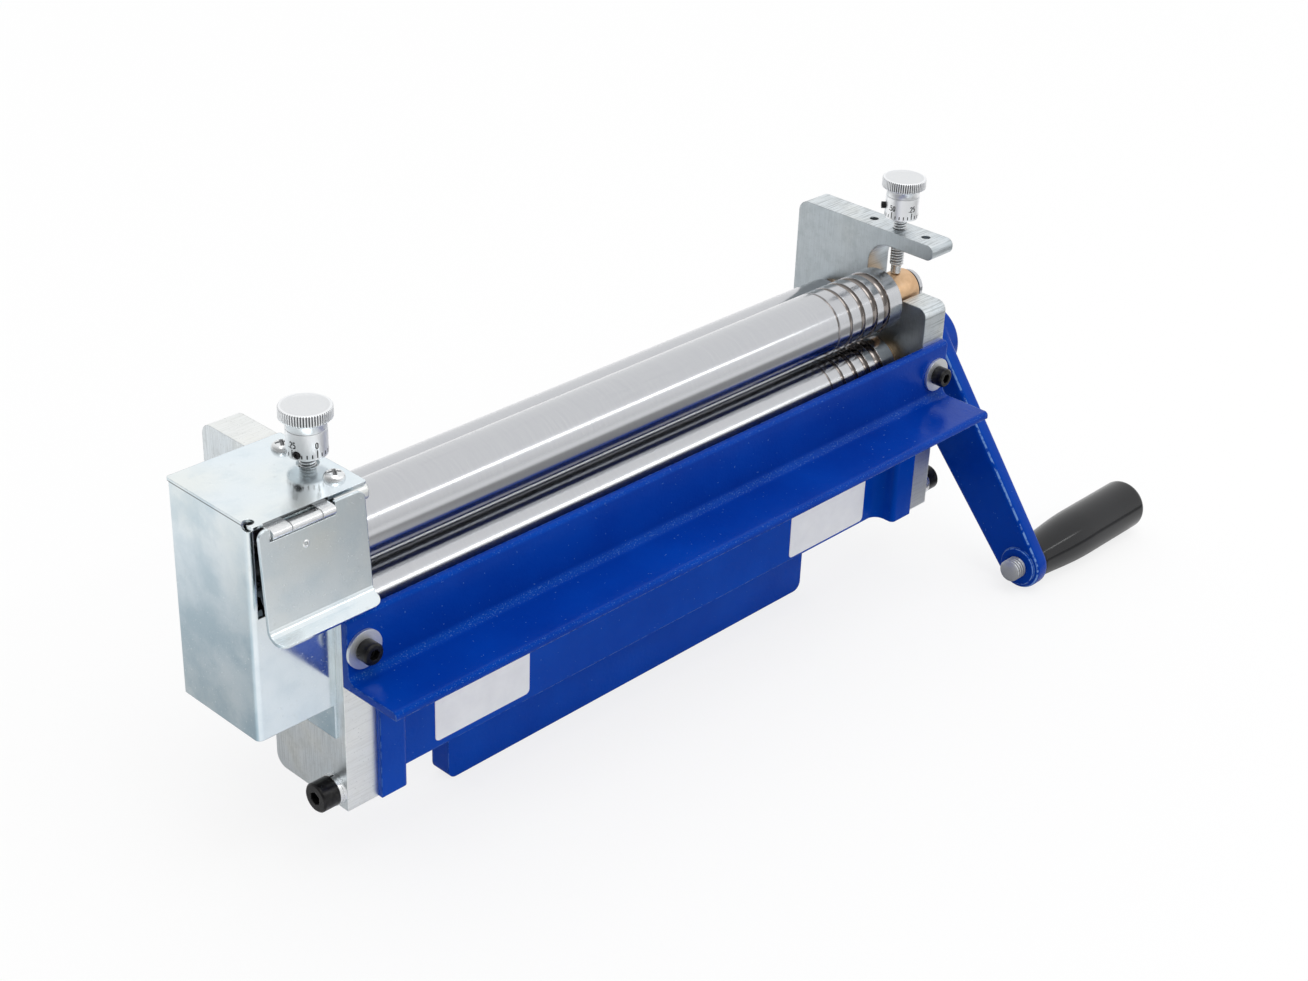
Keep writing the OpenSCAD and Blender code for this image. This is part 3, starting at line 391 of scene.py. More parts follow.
def zinc_sheet():
    """Zinc-plated sheet: cool pale metal with cloudy patches, a faint warm bloom, fine rolling lines along Z, painted
    shade on the cover's left wall, a dark seam where the lid meets it, and painted shade in the slit behind the hinge."""
    p = Paint("zinc_sheet", metallic=1.0)
    x, y, z = p.axes()
    shaded_wall = p.facing()[0].step(0.6, 0.85)
    patch = p.noise(34, 5, 0.6).step(0.4, 0.62)
    cloud = p.noise(13, 4)
    bloom = p.noise(55, 2)
    lines = p.noise(0.5, 2, stretch=(1, 1, 60))
    stains = p.noise(3.2, 3).step(0.64, 0.76)
    glints = p.noise(0.7, 1).over(0.74)
    tint = p.ramp(bloom, (0.3, (0.74, 0.83, 0.89)), (0.52, (0.79, 0.86, 0.9)), (0.74, (0.82, 0.86, 0.85)))
    tone = p.blend(cloud.step(0.42, 0.75) * 0.45, tint, (0.58, 0.69, 0.76))
    lower, forward = z.step(140, 85), y.step(2, -20)
    # Painted shade: X-facing walls darker, more so towards the bottom and the front and in cloudy patches.
    tone = p.blend(shaded_wall * (0.1 + patch * 0.42 + lower * 0.24 + forward * 0.22), tone, (0.37, 0.5, 0.58))
    tone = p.blend(stains * 0.16, tone, (0.5, 0.53, 0.54))
    tone = p.blend(glints * 0.5, tone, (0.93, 0.95, 0.96))
    seam = abs(z - PLATE_TOP).step(0.3, 0.12) * x.step(COVER_LEFT_X + 0.4, COVER_LEFT_X + 0.1)
    along_slit = abs(x - SLIT_X).step(SLIT_HALF + 0.6, SLIT_HALF)
    # Painted shade of the gap behind the hinge, laid on the hinge leaf and tongue.
    slit_shade = abs(y - SLIT_Y).step(0.8, 0.5) * z.step(SLIT_Z, SLIT_Z + 0.6) * along_slit
    p.set("Base Color", p.blend((seam * 0.8).most(slit_shade * 0.9), tone, (0.05, 0.05, 0.055)))
    p.set("Roughness", 0.07 + cloud * 0.13 + lines * 0.05 + glints * 0.15)
    p.bump(lines * 0.4 + p.noise(5, 2) - seam, 0.01, 0.5)
    return p.material


def plate_steel():
    """Plated thick plate: sawn lines along X on its edges, brushed lines along Z on its sides, plating specks; painted
    light makes the edges of the left plate and of both feet paler, and painted shade makes the inner side and the
    arm's front of the right plate darker."""
    p = Paint("plate_steel", metallic=1.0)
    across, ahead, _ = p.facing()
    side, front = across.step(0.5, 0.7), ahead.step(0.5, 0.7)
    x, _, z = p.axes()
    left_plate, feet = x.step(-100, -140), z.step(75, 65)
    right_plate, arm = x.step(100, 140), z.step(110, 125)
    # Painted light: paler edges of the left plate and of both feet.
    pale = left_plate.most(feet) * (1 - side)
    # Painted shade on the inner side of the right plate.
    painted_inner_shade = side * x.step(140, 153) * x.step(165, 156)
    cloud = p.noise(20, 4)
    sawn = p.noise(0.75, 3, stretch=(18, 1, 1))
    brushed = p.noise(0.4, 2, stretch=(1, 1, 40))
    specks = p.noise(0.8, 2).over(0.66)
    lines = sawn + side * (brushed - sawn)
    tone = p.ramp(cloud, (0.3, (0.64, 0.7, 0.74)), (0.55, (0.72, 0.76, 0.78)), (0.78, (0.76, 0.77, 0.73)))
    tone = p.blend(lines.step(0.47, 0.62) * (0.62 - side * 0.3 - pale * 0.2), tone, (0.36, 0.39, 0.4))
    mottle = p.noise(5, 4, 0.65)
    tone = p.blend(mottle.step(0.45, 0.68) * 0.35, tone, (0.47, 0.51, 0.52))
    tone = p.blend(painted_inner_shade * (0.4 + mottle * 0.5), tone, (0.38, 0.43, 0.46))
    tone = p.blend(pale * 0.6, tone, (0.93, 0.93, 0.9))
    # Painted shade on the front of the right plate's arm.
    tone = p.blend(right_plate * arm * front * 0.5, tone, (0.4, 0.45, 0.48))
    p.set("Base Color", p.blend(specks * 0.4, tone, (0.36, 0.38, 0.39)))
    p.set("Roughness", 0.24 + cloud * 0.16 + lines * 0.1)
    p.bump(lines + p.noise(2.2, 3) * (1.2 - side * 0.7), 0.05, 0.7)
    return p.material


def ground_steel():
    """Ground bar: fine rings round the X axis, slow changes of gloss, and a brown film in the wire grooves.
    A point is in a groove where it lies near a multiple of the groove pitch and under the roll's radius."""
    p = Paint("ground_steel", metallic=1.0)
    x, y, z = p.axes()
    rings = p.noise(0.3, 2, stretch=(1, 40, 40))
    slow = p.noise(40, 2)
    smear = p.noise(3.5, 3, stretch=(9, 1, 1))
    count = (FIRST_GROOVE_X - x) / GROOVE_PITCH
    near = abs(count - round(count)) * GROOVE_PITCH
    forth = (y - ROLL_Y) * (y - ROLL_Y)
    upper, lower = ((forth + (z - axis) * (z - axis)).root() for axis in (UPPER_Z, LOWER_Z))
    sunk = upper.least(lower).step(ROLL_R - 0.05, ROLL_R - 0.6)
    past_last = x.step(LAST_GROOVE_X - 3.5, LAST_GROOVE_X - 2.5)
    before_first = x.step(FIRST_GROOVE_X + 3.0, FIRST_GROOVE_X + 2.6)
    film = sunk * near.step(2.7, 2.3) * past_last * before_first
    steel = p.ramp(rings, (0.3, (0.525, 0.535, 0.56)), (0.7, (0.555, 0.565, 0.585)))
    steel = p.blend(smear.step(0.55, 0.75) * 0.1, steel, (0.42, 0.43, 0.45))
    p.set("Base Color", p.blend(film * 0.8, steel, (0.2, 0.165, 0.14)))
    p.set("Roughness", 0.11 + rings * 0.05 + slow * 0.06)
    p.bump(rings, 0.0015, 0.3)
    return p.material


def turned_metal(name, dark, light, rough, depth=0.01):
    """Turned or plated small parts: two tones by fine noise, soft wear, and painted shade in a knurl or thread."""
    p = Paint(name, metallic=1.0)
    grain = p.noise(0.5, 3, stretch=(1, 1, 0.4))
    deep = p.groove()
    unshaded = p.ramp(grain, (0.3, dark), (0.7, light))
    # Painted shade: darker where the groove values say a point lies deep.
    p.set("Base Color", p.blend(deep * 0.85, unshaded, (0.1, 0.1, 0.105)))
    p.set("Roughness", rough + p.noise(4, 3) * 0.12 + deep * 0.2)
    p.bump(grain, depth, 0.25)
    return p.material


def bronze():
    """Bearing bronze: warm tan with turning rings round X and darker oxide patches."""
    p = Paint("bronze", metallic=1.0)
    rings = p.noise(0.4, 2, stretch=(1, 30, 30))
    patches = p.noise(5, 4)
    tone = p.ramp(patches, (0.3, (0.62, 0.4, 0.23)), (0.6, (0.75, 0.51, 0.31)), (0.8, (0.8, 0.6, 0.41)))
    p.set("Base Color", p.blend(rings * 0.25, tone, (0.58, 0.38, 0.22)))
    p.set("Roughness", 0.34 + rings * 0.12)
    p.bump(rings, 0.01, 0.3)
    return p.material


def black_oxide():
    """Black oxide steel: near black with brown-grey rubs where tools touch."""
    p = Paint("black_oxide", metallic=0.6)
    rub = p.noise(2.2, 4)
    p.set("Base Color", p.ramp(rub, (0.45, (0.008, 0.008, 0.009)), (0.85, (0.035, 0.034, 0.033))))
    p.set("Roughness", 0.22 + rub * 0.15)
    p.bump(p.noise(0.6, 2), 0.008, 0.5)
    return p.material


def black_plastic():
    """Gloss moulded plastic: black with slight waves and fine scuffs in the gloss."""
    p = Paint("black_plastic", specular_ior_level=0.4)
    scuff = p.noise(1.2, 4, stretch=(5, 1, 1))
    black, dark = (0.004, 0.0045, 0.0055), (0.008, 0.0085, 0.0105)
    p.set("Base Color", p.ramp(p.noise(30), (0.3, black), (0.7, dark)))
    p.set("Roughness", 0.09 + scuff * 0.07)
    p.bump(p.noise(16, 1), 0.012, 0.4)
    return p.material


def label_film():
    """Bare white label film with a faint paper-like unevenness."""
    p = Paint("label_film", specular_ior_level=0.3)
    soft = p.noise(7, 3)
    p.set("Base Color", p.ramp(soft, (0.3, (0.84, 0.85, 0.87)), (0.7, (0.9, 0.91, 0.92))))
    p.set("Roughness", 0.4 + soft * 0.12)
    p.bump(p.noise(0.8, 2), 0.008)
    return p.material


def mark_ink():
    """Black ink of the dial marks, a little grey where it has worn."""
    p = Paint("mark_ink", specular_ior_level=0.2)
    worn = p.noise(0.6, 3)
    p.set("Base Color", p.ramp(worn, (0.45, (0.01, 0.01, 0.012)), (0.9, (0.06, 0.06, 0.07))))
    p.set("Roughness", 0.5 + worn * 0.2)
    return p.material


MATERIALS = {
    "blue_paint": blue_paint("blue_paint", (0.0002, 0.028, 0.275), (0.0004, 0.04, 0.335)),
    # Painted light: a lighter copy of the blue paint for the base and the vice bar.
    "lit_base_blue": blue_paint("lit_base_blue", (0.0002, 0.043, 0.36), (0.0004, 0.058, 0.43)),
    "zinc_sheet": zinc_sheet(),
    "plate_steel": plate_steel(),
    "ground_steel": ground_steel(),
    "zinc_hardware": turned_metal("zinc_hardware", (0.72, 0.74, 0.76), (0.84, 0.85, 0.85), 0.2),
    "washer_zinc": turned_metal("washer_zinc", (0.7, 0.72, 0.74), (0.8, 0.81, 0.82), 0.42, 0.006),
    "machine_steel": turned_metal("machine_steel", (0.26, 0.26, 0.27), (0.38, 0.38, 0.39), 0.3),
    "knob_metal": turned_metal("knob_metal", (0.87, 0.89, 0.91), (0.92, 0.93, 0.94), 0.32, 0.003),
    "bronze": bronze(),
    "black_oxide": black_oxide(),
    "black_plastic": black_plastic(),
    "label_film": label_film(),
    "mark_ink": mark_ink(),
}
SLOTS = [m["slot"] for m in frame["record"]["materials"]]
# Nodes whose material differs from the rest of their slot: the washers a rougher zinc, and the base and the vice bar a
# lighter copy of the blue paint that is painted light; and the slot of a finish that has no slot of its own.
OWN_LOOK = {"angle_washers": "washer_zinc", "base_casting": "lit_base_blue", "vice_bar": "lit_base_blue"}
SLOT_OF = {"washer_zinc": "zinc_hardware"}
for part in frame["record"]["subparts"]:
    skin = nodes[part["node"]].data.materials
    skin.clear()
    skin.append(MATERIALS[OWN_LOOK.get(part["node"], part["material_slot"])])


def finished(name, points, faces, material, body, groove=None, closed=True):
    """A mesh from points in millimetres and faces, riding on a body. A closed shell has its doubles merged
    and its normals turned outward. groove gives each point's depth in a knurl or thread, 0 to 1. A piece that
    is to stretch between two bodies is given no body here."""
    mesh = bpy.data.meshes.new(name)
    mesh.from_pydata((np.asarray(points).reshape(-1, 3) * MM).tolist(), [], faces)
    if groove is not None:
        depths = mesh.attributes.new("groove", "FLOAT", "POINT").data
        depths.foreach_set("value", np.ravel(groove).astype(np.float32))
    if closed:
        work = bmesh.new()
        work.from_mesh(mesh)
        bmesh.ops.remove_doubles(work, verts=work.verts, dist=SAME_POINT)
        bmesh.ops.recalc_face_normals(work, faces=work.faces)
        work.to_mesh(mesh)
        work.free()
    mesh.polygons.foreach_set("use_smooth", np.ones(len(mesh.polygons), bool))
    mesh.set_sharp_from_angle(angle=SHARP_TURN)
    mesh.materials.append(MATERIALS[material])
    piece = bpy.data.objects.new(name, mesh)
    bpy.context.scene.collection.objects.link(piece)
    if body:
        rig.ride(piece, body)
    slot = SLOT_OF.get(material, material)
    if slot in SLOTS:
        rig.slot(piece, slot)
    return piece


def grid_faces(rows, columns, wrap=True):
    """Quads between neighbouring rows of a grid; wrap joins the last column to the first."""
    last = columns if wrap else columns - 1
    r, c = np.meshgrid(np.arange(rows - 1), np.arange(last), indexing="ij")
    n = (c + 1) % columns
    quads = [r * columns + c, r * columns + n, (r + 1) * columns + n, (r + 1) * columns + c]
    return np.stack(quads, -1).reshape(-1, 4).tolist()


def joined(*shells):
    """Several shells of points and faces as one: each shell's faces count on from the points before it."""
    counts = np.cumsum([0] + [len(points) for points, _ in shells])
    faces = [[i + int(first) for i in face] for first, (_, part) in zip(counts, shells) for face in part]
    return np.concatenate([points for points, _ in shells]), faces


def turned(profile, around, swell=None):
    """A profile of (radius, height) pairs carried round Z; swell(angle, height) is added to the radius.
    Gives grid points, one row per profile point."""
    profile = np.asarray(profile, float)
    angle = np.linspace(0, TAU, around, endpoint=False)
    radius = np.repeat(profile[:, :1], around, 1)
    height = np.repeat(profile[:, 1:], around, 1)
    if swell is not None:
        radius = radius + swell(angle[None, :], height) * (radius > 0)
    return np.stack([radius * np.cos(angle), radius * np.sin(angle), height], -1)


def placed(points, centre, along="z"):
    """Moves points drawn about Z to their place; along x turns Z into X."""
    flat = points.reshape(-1, 3)
    if along == "x":
        flat = flat[:, [2, 0, 1]]
    return flat + np.asarray(centre)


def thread_depth(pitch, low, high, run_out=0.8):
    """A right-hand thread's depth, 0 at the crest and 1 at the root: a flattened triangle wave of height
    over pitch less angle over a turn, fading out over run_out millimetres at both ends."""
    crest_height, flank_slope = 1.55, 3.4

    def depth(angle, height):
        phase = (height / pitch - angle / TAU) % 1.0
        crest = np.clip(crest_height - flank_slope * np.abs(phase - 0.5), 0, 1)
        fade = np.clip((height - low) / run_out, 0, 1) * np.clip((high - height) / run_out, 0, 1)
        return (1 - crest) * fade

    return depth


def threaded(name, centre, body, profile, radius, depth, cut, material, along="z", around=72):
    """A turned piece whose rows of the given radius carry a thread cut millimetres deep."""
    rows = np.asarray(profile, float)
    angle = np.linspace(0, TAU, around, endpoint=False)[None, :]
    on_thread = np.abs(rows[:, :1] - radius) < 1e-6
    groove = depth(angle, np.repeat(rows[:, 1:], around, 1)) * on_thread
    points = turned(rows, around, lambda a, h: -cut * groove)
    shell = placed(points, centre, along), grid_faces(len(rows), around)
    return finished(name, *shell, material, body, groove)


def screw_with_thread(name, centre, body, low, high, pitch, tip_up):
    """A threaded rod along Z with a thinner plain tip, at the top if tip_up; the rest carries the thread."""
    start = low if tip_up else low + TIP_LEN
    stop = high - TIP_LEN if tip_up else high
    chamfer, step, tip_edge, inset = 0.5, 0.1, 0.3, 0.4
    crests = np.arange(start + chamfer, stop - chamfer, pitch / 12)
    shank = [(SCREW_R - chamfer, start)] + [(SCREW_R, z) for z in crests] + [(SCREW_R - chamfer, stop)]
    if tip_up:
        tip = [(TIP_R, stop + step), (TIP_R, high - tip_edge), (TIP_R - tip_edge, high), (0, high)]
        profile = [(0, low)] + shank + tip
    else:
        tip = [(0, low), (TIP_R - tip_edge, low), (TIP_R, low + tip_edge), (TIP_R, start - step)]
        profile = tip + shank + [(0, high)]
    thread = thread_depth(pitch, start + inset, stop - inset)
    return threaded(name, centre, body, profile, SCREW_R, thread, pitch * 0.5, "zinc_hardware")


# How a knob's rim rounds over into its dished top: steps inward from the radius, and down from the top.
KNOB_RIM = [(0.08, 0.32), (0.25, 0.14), (0.5, 0.03), (0.8, 0.0), (1.3, 0.02), (1.7, 0.18), (2.0, 0.3),
            (2.4, 0.32)]
DISH_DEPTH, FLUTE_DEPTH = 0.34, 0.5


def fluted_knob(name, centre, body, low, radius, height, flutes, collar=None):
    """A knob with straight flutes: the rim radius less a groove wherever the cosine of flutes times the angle is high;
    the top is dished behind a rounded rim, a little rougher and with a little painted shade. collar is (radius,
    height) of a smooth neck below a tapered shoulder."""
    top = low + height
    if collar:
        neck, drop = collar
        foot = low - drop
        profile = [(0, foot), (neck - 0.3, foot), (neck - 0.05, foot + 0.1), (neck, foot + 0.3),
                   (neck, low - 0.9), (neck + 0.25, low - 0.6),
                   (radius - 0.75, low + 0.35), (radius - 0.4, low + 0.5)]
    else:
        profile = [(0, low), (radius - 0.9, low), (radius - 0.4, low + 0.3)]
    rim_low, rim_high = profile[-1][1] + 0.25, top - 0.55
    profile += [(radius, z) for z in np.linspace(rim_low, rim_high, 8)]
    profile += [(radius - inward, top - down) for inward, down in KNOB_RIM]
    profile += [(2.0, top - DISH_DEPTH), (0, top - DISH_DEPTH)]
    rows = np.asarray(profile)
    around = flutes * 10
    angle = np.linspace(0, TAU, around, endpoint=False)[None, :]
    wave = np.clip((np.cos(angle * flutes) + 0.25) / 0.9, 0, 1) ** 1.2
    starts = np.clip((rows[:, 1:] - rim_low + 0.3) / 0.4, 0, 1)
    ends = np.clip((top - 0.02 - rows[:, 1:]) / 0.5, 0, 1)
    groove = wave * (starts * ends) * (rows[:, :1] > radius - 0.6)
    points = turned(rows, around, lambda a, h: -FLUTE_DEPTH * groove)
    dish = (rows[:, :1] < radius - 1.2) * (rows[:, 1:] > rim_high)
    shell = placed(points, centre), grid_faces(len(rows), around)
    return finished(name, *shell, "knob_metal", body, np.maximum(groove, 0.2 * dish))


# Dial strokes in a box one wide and two high, one list of points for each stroke.
STROKES = {
    "0": [[(0.15, 0.35), (0.15, 1.65), (0.5, 2.0), (0.85, 1.65), (0.85, 0.35), (0.5, 0.0), (0.15, 0.35)]],
    "1": [[(0.25, 1.6), (0.55, 2.0), (0.55, 0.0)]],
    "2": [[(0.1, 1.6), (0.3, 2.0), (0.75, 1.95), (0.9, 1.5), (0.7, 1.05), (0.1, 0.0), (0.95, 0.0)]],
    "5": [[(0.85, 2.0), (0.2, 2.0), (0.15, 1.15), (0.55, 1.3), (0.9, 0.95), (0.85, 0.3), (0.45, 0.0),
           (0.08, 0.2)]],
    "7": [[(0.1, 2.0), (0.92, 2.0), (0.4, 0.0)]],
    ".": [[(0.4, 0.0), (0.4, 0.3)]],
}
DIAL_NUMBERS = ("0", ".25", ".50", ".75", "1.0")
DIAL_TICKS, TICK_LOW, TICK_SHORT, TICK_LONG, TICK_WIDTH = 25, 0.7, 2.1, 3.6, 0.42
DIGIT_SIZE, DIGIT_LOW, DIGIT_WIDTH = 1.1, 4.2, 0.44
INK_PROUD = 0.04


def stroke_strips(points, width):
    """A polyline as quads: each point moved half the width to both sides along the mean normal of its
    segments."""
    line = np.asarray(points, float)
    along = np.diff(line, axis=0)
    along /= np.linalg.norm(along, axis=1, keepdims=True)
    mean = np.concatenate([along[:1], along[:-1] + along[1:], along[-1:]])
    mean /= np.linalg.norm(mean, axis=1, keepdims=True)
    side = np.stack([-mean[:, 1], mean[:, 0]], -1) * width / 2
    return np.stack([line + side, line - side], 1)


def dial_marks(name, centre, body, zero):
    """Inked marks on a dial, wrapped round its cylinder: ticks at the lower edge, a longer one and a number
    at every fifth. zero is the angle of the 0 mark in degrees; the numbers rise to the left of it as seen
    from outside."""
    strips = []
    for i in range(DIAL_TICKS):
        at = -i * TAU / DIAL_TICKS * DIAL_R
        reach = TICK_LONG if i % 5 == 0 else TICK_SHORT
        strips.append(stroke_strips([(at, TICK_LOW), (at, reach)], TICK_WIDTH))
    for i, number in enumerate(DIAL_NUMBERS):
        widths = [DIGIT_SIZE * (0.75 if digit == "." else 1.25) for digit in number]
        place = -i * TAU / len(DIAL_NUMBERS) * DIAL_R - sum(widths) / 2
        for digit, width in zip(number, widths):
            lines = [np.asarray(stroke) * DIGIT_SIZE + (place, DIGIT_LOW) for stroke in STROKES[digit]]
            strips += [stroke_strips(line, DIGIT_WIDTH) for line in lines]
            place += width
    flat = [strip.reshape(-1, 2) for strip in strips]
    angle = [math.radians(zero) + f[:, 0] / DIAL_R for f in flat]
    r = DIAL_R + INK_PROUD
    shells = [(np.stack([r * np.cos(a), r * np.sin(a), DIAL_LOW + f[:, 1]], -1),
               grid_faces(len(f) // 2, 2, False)) for f, a in zip(flat, angle)]
    points, faces = joined(*shells)
    finished(name, points + np.asarray(centre), faces, "mark_ink", body, closed=False)


def cross_head_screw(centre):
    """A cross-recess pan head on a shank: a dome over the radius, less a cross whose depth falls outward."""
    radius, height, rings, around = 3.9, 2.6, 40, 128
    arm_half, arm_reach, cross_turn = 0.66, 2.4, 0.5
    base = PLATE_TOP + LID_THICK
    shank_r, shank_low = 1.98, PLATE_TOP - 6.5
    t = np.linspace(0, TAU, around, endpoint=False)
    r, a = np.meshgrid(np.linspace(0, 1, rings) * radius, t, indexing="ij")
    dome = height * np.clip(1 - (r / radius) ** 3.2, 0, 1) ** 0.55
    arm = np.minimum(np.abs(r * np.cos(a + cross_turn)), np.abs(r * np.sin(a + cross_turn)))
    cross = np.clip((arm_half - arm) / 0.12, 0, 1) * np.clip((arm_reach - r) / 0.25, 0, 1)
    head = np.stack([r * np.cos(a), r * np.sin(a), dome - cross * (1.6 - 0.35 * r) + base], -1)
    below = turned([(radius, base), (shank_r, base), (shank_r, shank_low), (0, shank_low)], around)
    groove = np.concatenate([cross, np.zeros((len(below), around))])
    points = np.concatenate([head, below]).reshape(-1, 3) + np.asarray(centre)
    return (points, grid_faces(len(groove), around)), groove


def bare_label(name, low, high):
    """A thin plate on the base's web: a rounded rectangle between two corners in X and Z, with a flat face
    that stands out towards -Y and an edge that rounds over at the end."""
    corner, thick, around = 2.0, 0.25, 64
    t = np.linspace(0, TAU, around, endpoint=False) + TAU / around / 2
    half = (np.asarray(high) - np.asarray(low)) / 2
    mid = (np.asarray(high) + np.asarray(low)) / 2
    ring = np.stack([np.sign(np.cos(t)) * (half[0] - corner) + corner * np.cos(t),
                     np.sign(np.sin(t)) * (half[1] - corner) + corner * np.sin(t)], -1)
    rows = np.array([(0.0, 0.0), (1.0, 0.0), (1.0, 0.6), (0.996, 0.95), (0.985, 1.0), (0.5, 1.0), (0.0, 1.0)])
    x = mid[0] + rows[:, :1] * ring[:, 0]
    z = mid[1] + rows[:, :1] * ring[:, 1]
    y = np.repeat(WEB_Y - thick * rows[:, 1:], around, 1)
    finished(name, np.stack([x, y, z], -1), grid_faces(len(rows), around), "label_film", "frame")


def link_shell(x_low, x_high, edge):
    """The crank's arm: two round ends joined by their outer tangents, carried along X with its edges rounded
    by a quarter circle of radius edge, and closed by flat faces."""
    tangent = math.acos((HUB_R - END_R) / CRANK_LEN)
    hub = np.linspace(tangent, TAU - tangent, 56)
    end = np.linspace(-tangent, tangent, 40)
    turn = np.linspace(0, TAU / 4, 7)
    flat = [edge + 0.5]
    inset = np.concatenate([flat, edge * (1 - np.sin(turn)), edge * (1 - np.sin(turn[::-1])), flat])
    rise = edge * (1 - np.cos(turn))
    x = np.concatenate([[x_low], x_low + rise, x_high - rise[::-1], [x_high]])
    hub_r, end_r = HUB_R - inset[:, None], END_R - inset[:, None]
    along = np.concatenate([hub_r * np.cos(hub), CRANK_LEN + end_r * np.cos(end)], 1)
    across = np.concatenate([hub_r * np.sin(hub), end_r * np.sin(end)], 1)
    cy, cz = -math.cos(CRANK_TURN), -math.sin(CRANK_TURN)
    columns = along.shape[1]
    points = np.stack([np.repeat(x[:, None], columns, 1), ROLL_Y + along * cy - across * cz,
                       LOWER_Z + along * cz + across * cy], -1).reshape(-1, 3)
    last = (len(x) - 1) * columns
    return points, grid_faces(len(x), columns) + [list(range(columns)), list(range(last, last + columns))]


def ring_shell(x_low, x_high, radius, bore, edge, y, z):
    """A round boss along X with a bore: a rectangle with rounded outer corners carried round the axis."""
    around = 96
    turn = np.linspace(0, TAU / 4, 6)
    rounding = radius - edge + edge * np.sin(turn)
    rise = edge * (1 - np.cos(turn))
    profile = [(bore, x_low)] + list(zip(rounding, x_low + rise))
    profile += list(zip(rounding[::-1], x_high - rise[::-1]))
    profile += [(bore, x_high), (bore, x_low)]
    return placed(turned(profile, around), (0, y, z), "x"), grid_faces(len(profile), around)


# Knobs, dial marks and threads of the two pinch adjusters and of the two rear ones. A dial's zero is the
# angle of its 0 mark in degrees, as the photo shows it.
KNOB_FLUTES, REAR_KNOB_R, REAR_FLUTES = 60, 8.0, 52
TIP_CLEAR = 0.1
for side, sign, zero in (("left", -1, 261.0), ("right", 1, 326.0)):
    spot, body = (sign * SCREW_X, ROLL_Y, 0), side + "_adjuster"
    low = span(side + "_knob")[1, 2] - KNOB_H
    collar = (COLLAR_R, COLLAR_H)
    knob = fluted_knob(side + "_fluted_knob", spot, body, low, KNOB_R, KNOB_H, KNOB_FLUTES, collar)
    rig.replaces(knob, side + "_knob")
    dial_marks(side + "_dial_marks", spot, body, zero)
    low, high = UPPER_Z + BUSH_R + TIP_CLEAR, span(side + "_adjusting_screw")[1, 2]
    screw = screw_with_thread(side + "_threaded_screw", spot, body, low, high, THREAD_PITCH, False)
    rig.replaces(screw, side + "_adjusting_screw")
    spot, body = (sign * SCREW_X, REAR_Y, 0), side + "_rear_adjuster"
    low, high = span(side + "_rear_knob")[:, 2]
    knob = fluted_knob(side + "_fluted_rear_knob", spot, body, low, REAR_KNOB_R, high - low, REAR_FLUTES)
    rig.replaces(knob, side + "_rear_knob")
    low, high = span(side + "_rear_screw")[:, 2]
    screw = screw_with_thread(side + "_threaded_rear_screw", spot, body, low, high, REAR_PITCH, True)
    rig.replaces(screw, side + "_rear_screw")

# Set screw of the left dial, screwed in until it is almost flush: a small socket head turned to its own
# direction.
PLUG_R, SOCKET_R, PLUG_SIDES = 1.25, 0.6, 36
PLUG_IN, PLUG_OUT, SOCKET_IN = DIAL_R - 2.0, DIAL_R + 0.3, DIAL_R - 0.6
low, high = span("left_set_screw")
middle = (low + high) / 2 - (-SCREW_X, ROLL_Y, 0)
outward = np.array([middle[0], middle[1], 0]) / np.hypot(middle[0], middle[1])
across = np.array([-outward[1], outward[0], 0])
rows = [(0, PLUG_IN), (PLUG_R, PLUG_IN), (PLUG_R, PLUG_OUT - 0.2), (PLUG_R - 0.2, PLUG_OUT),
        (SOCKET_R + 0.05, PLUG_OUT), (SOCKET_R, SOCKET_IN), (0, SOCKET_IN - 0.2)]
plug = turned(rows, PLUG_SIDES).reshape(-1, 3)
plug = plug[:, :1] * across + plug[:, 1:2] * (0, 0, 1) + plug[:, 2:] * outward
plug = plug + (-SCREW_X, ROLL_Y, middle[2])
flush = finished("flush_set_screw", plug, grid_faces(len(rows), PLUG_SIDES), "black_oxide", "left_adjuster")
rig.replaces(flush, "left_set_screw")

# Bushes of the upper roll with rounded ends, and the thin ring that holds the right one.
BUSH_BORE, BUSH_EDGE = 7.05, 0.7
RING_IN, RING_OUT, RING_R, RING_BORE, RING_EDGE = 168.6, 169.7, 7.9, 6.35, 0.2
for side in ("left", "right"):
    low, high = span("upper_bush_" + side)[:, 0]
    shell = ring_shell(low, high, BUSH_R, BUSH_BORE, BUSH_EDGE, ROLL_Y, UPPER_Z)
    bush = finished("rounded_bush_" + side, *shell, "bronze", "upper_carriage")
    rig.replaces(bush, "upper_bush_" + side)
shell = ring_shell(RING_IN, RING_OUT, RING_R, RING_BORE, RING_EDGE, ROLL_Y, UPPER_Z)
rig.replaces(finished("thin_ring", *shell, "black_oxide", "upper_rotor"), "upper_retaining_ring")

# Springs under the bushes: a round wire carried along a helix whose rise slows at both ends; each stretches
# between the bottom of its pocket and its bush.
WIRE_R, WIRE_SIDES, COIL_R, COILS, COIL_STEPS = 0.4, 10, 2.4, 5, 141
SPRING_CLEAR = 0.15
for side, x in (("left", -SCREW_X), ("right", SCREW_X)):
    low, high = span("lift_spring_" + side)[0, 2], UPPER_Z - BUSH_R - SPRING_CLEAR
    share = np.linspace(0, 1, COIL_STEPS)[:, None]
    climb = low + WIRE_R + (high - low - 2 * WIRE_R) * (share - 0.55 * np.sin(TAU * share) / TAU)
    thick = np.where((share > 0) & (share < 1), WIRE_R, 0.0)
    section = np.linspace(0, TAU, WIRE_SIDES, endpoint=False)
    coil = COIL_R + thick * np.cos(section)
    angle = COILS * TAU * share
    wound = [x + coil * np.cos(angle), ROLL_Y + coil * np.sin(angle), climb + thick * np.sin(section)]
    faces = grid_faces(COIL_STEPS, WIRE_SIDES)
    spring = finished(side + "_coil_spring", np.stack(wound, -1), faces, "machine_steel", None)
    foot, head = (x * MM, ROLL_Y * MM, low * MM), (x * MM, ROLL_Y * MM, high * MM)
    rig.blend(spring, "frame", "upper_carriage", foot, head)
    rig.replaces(spring, "lift_spring_" + side)
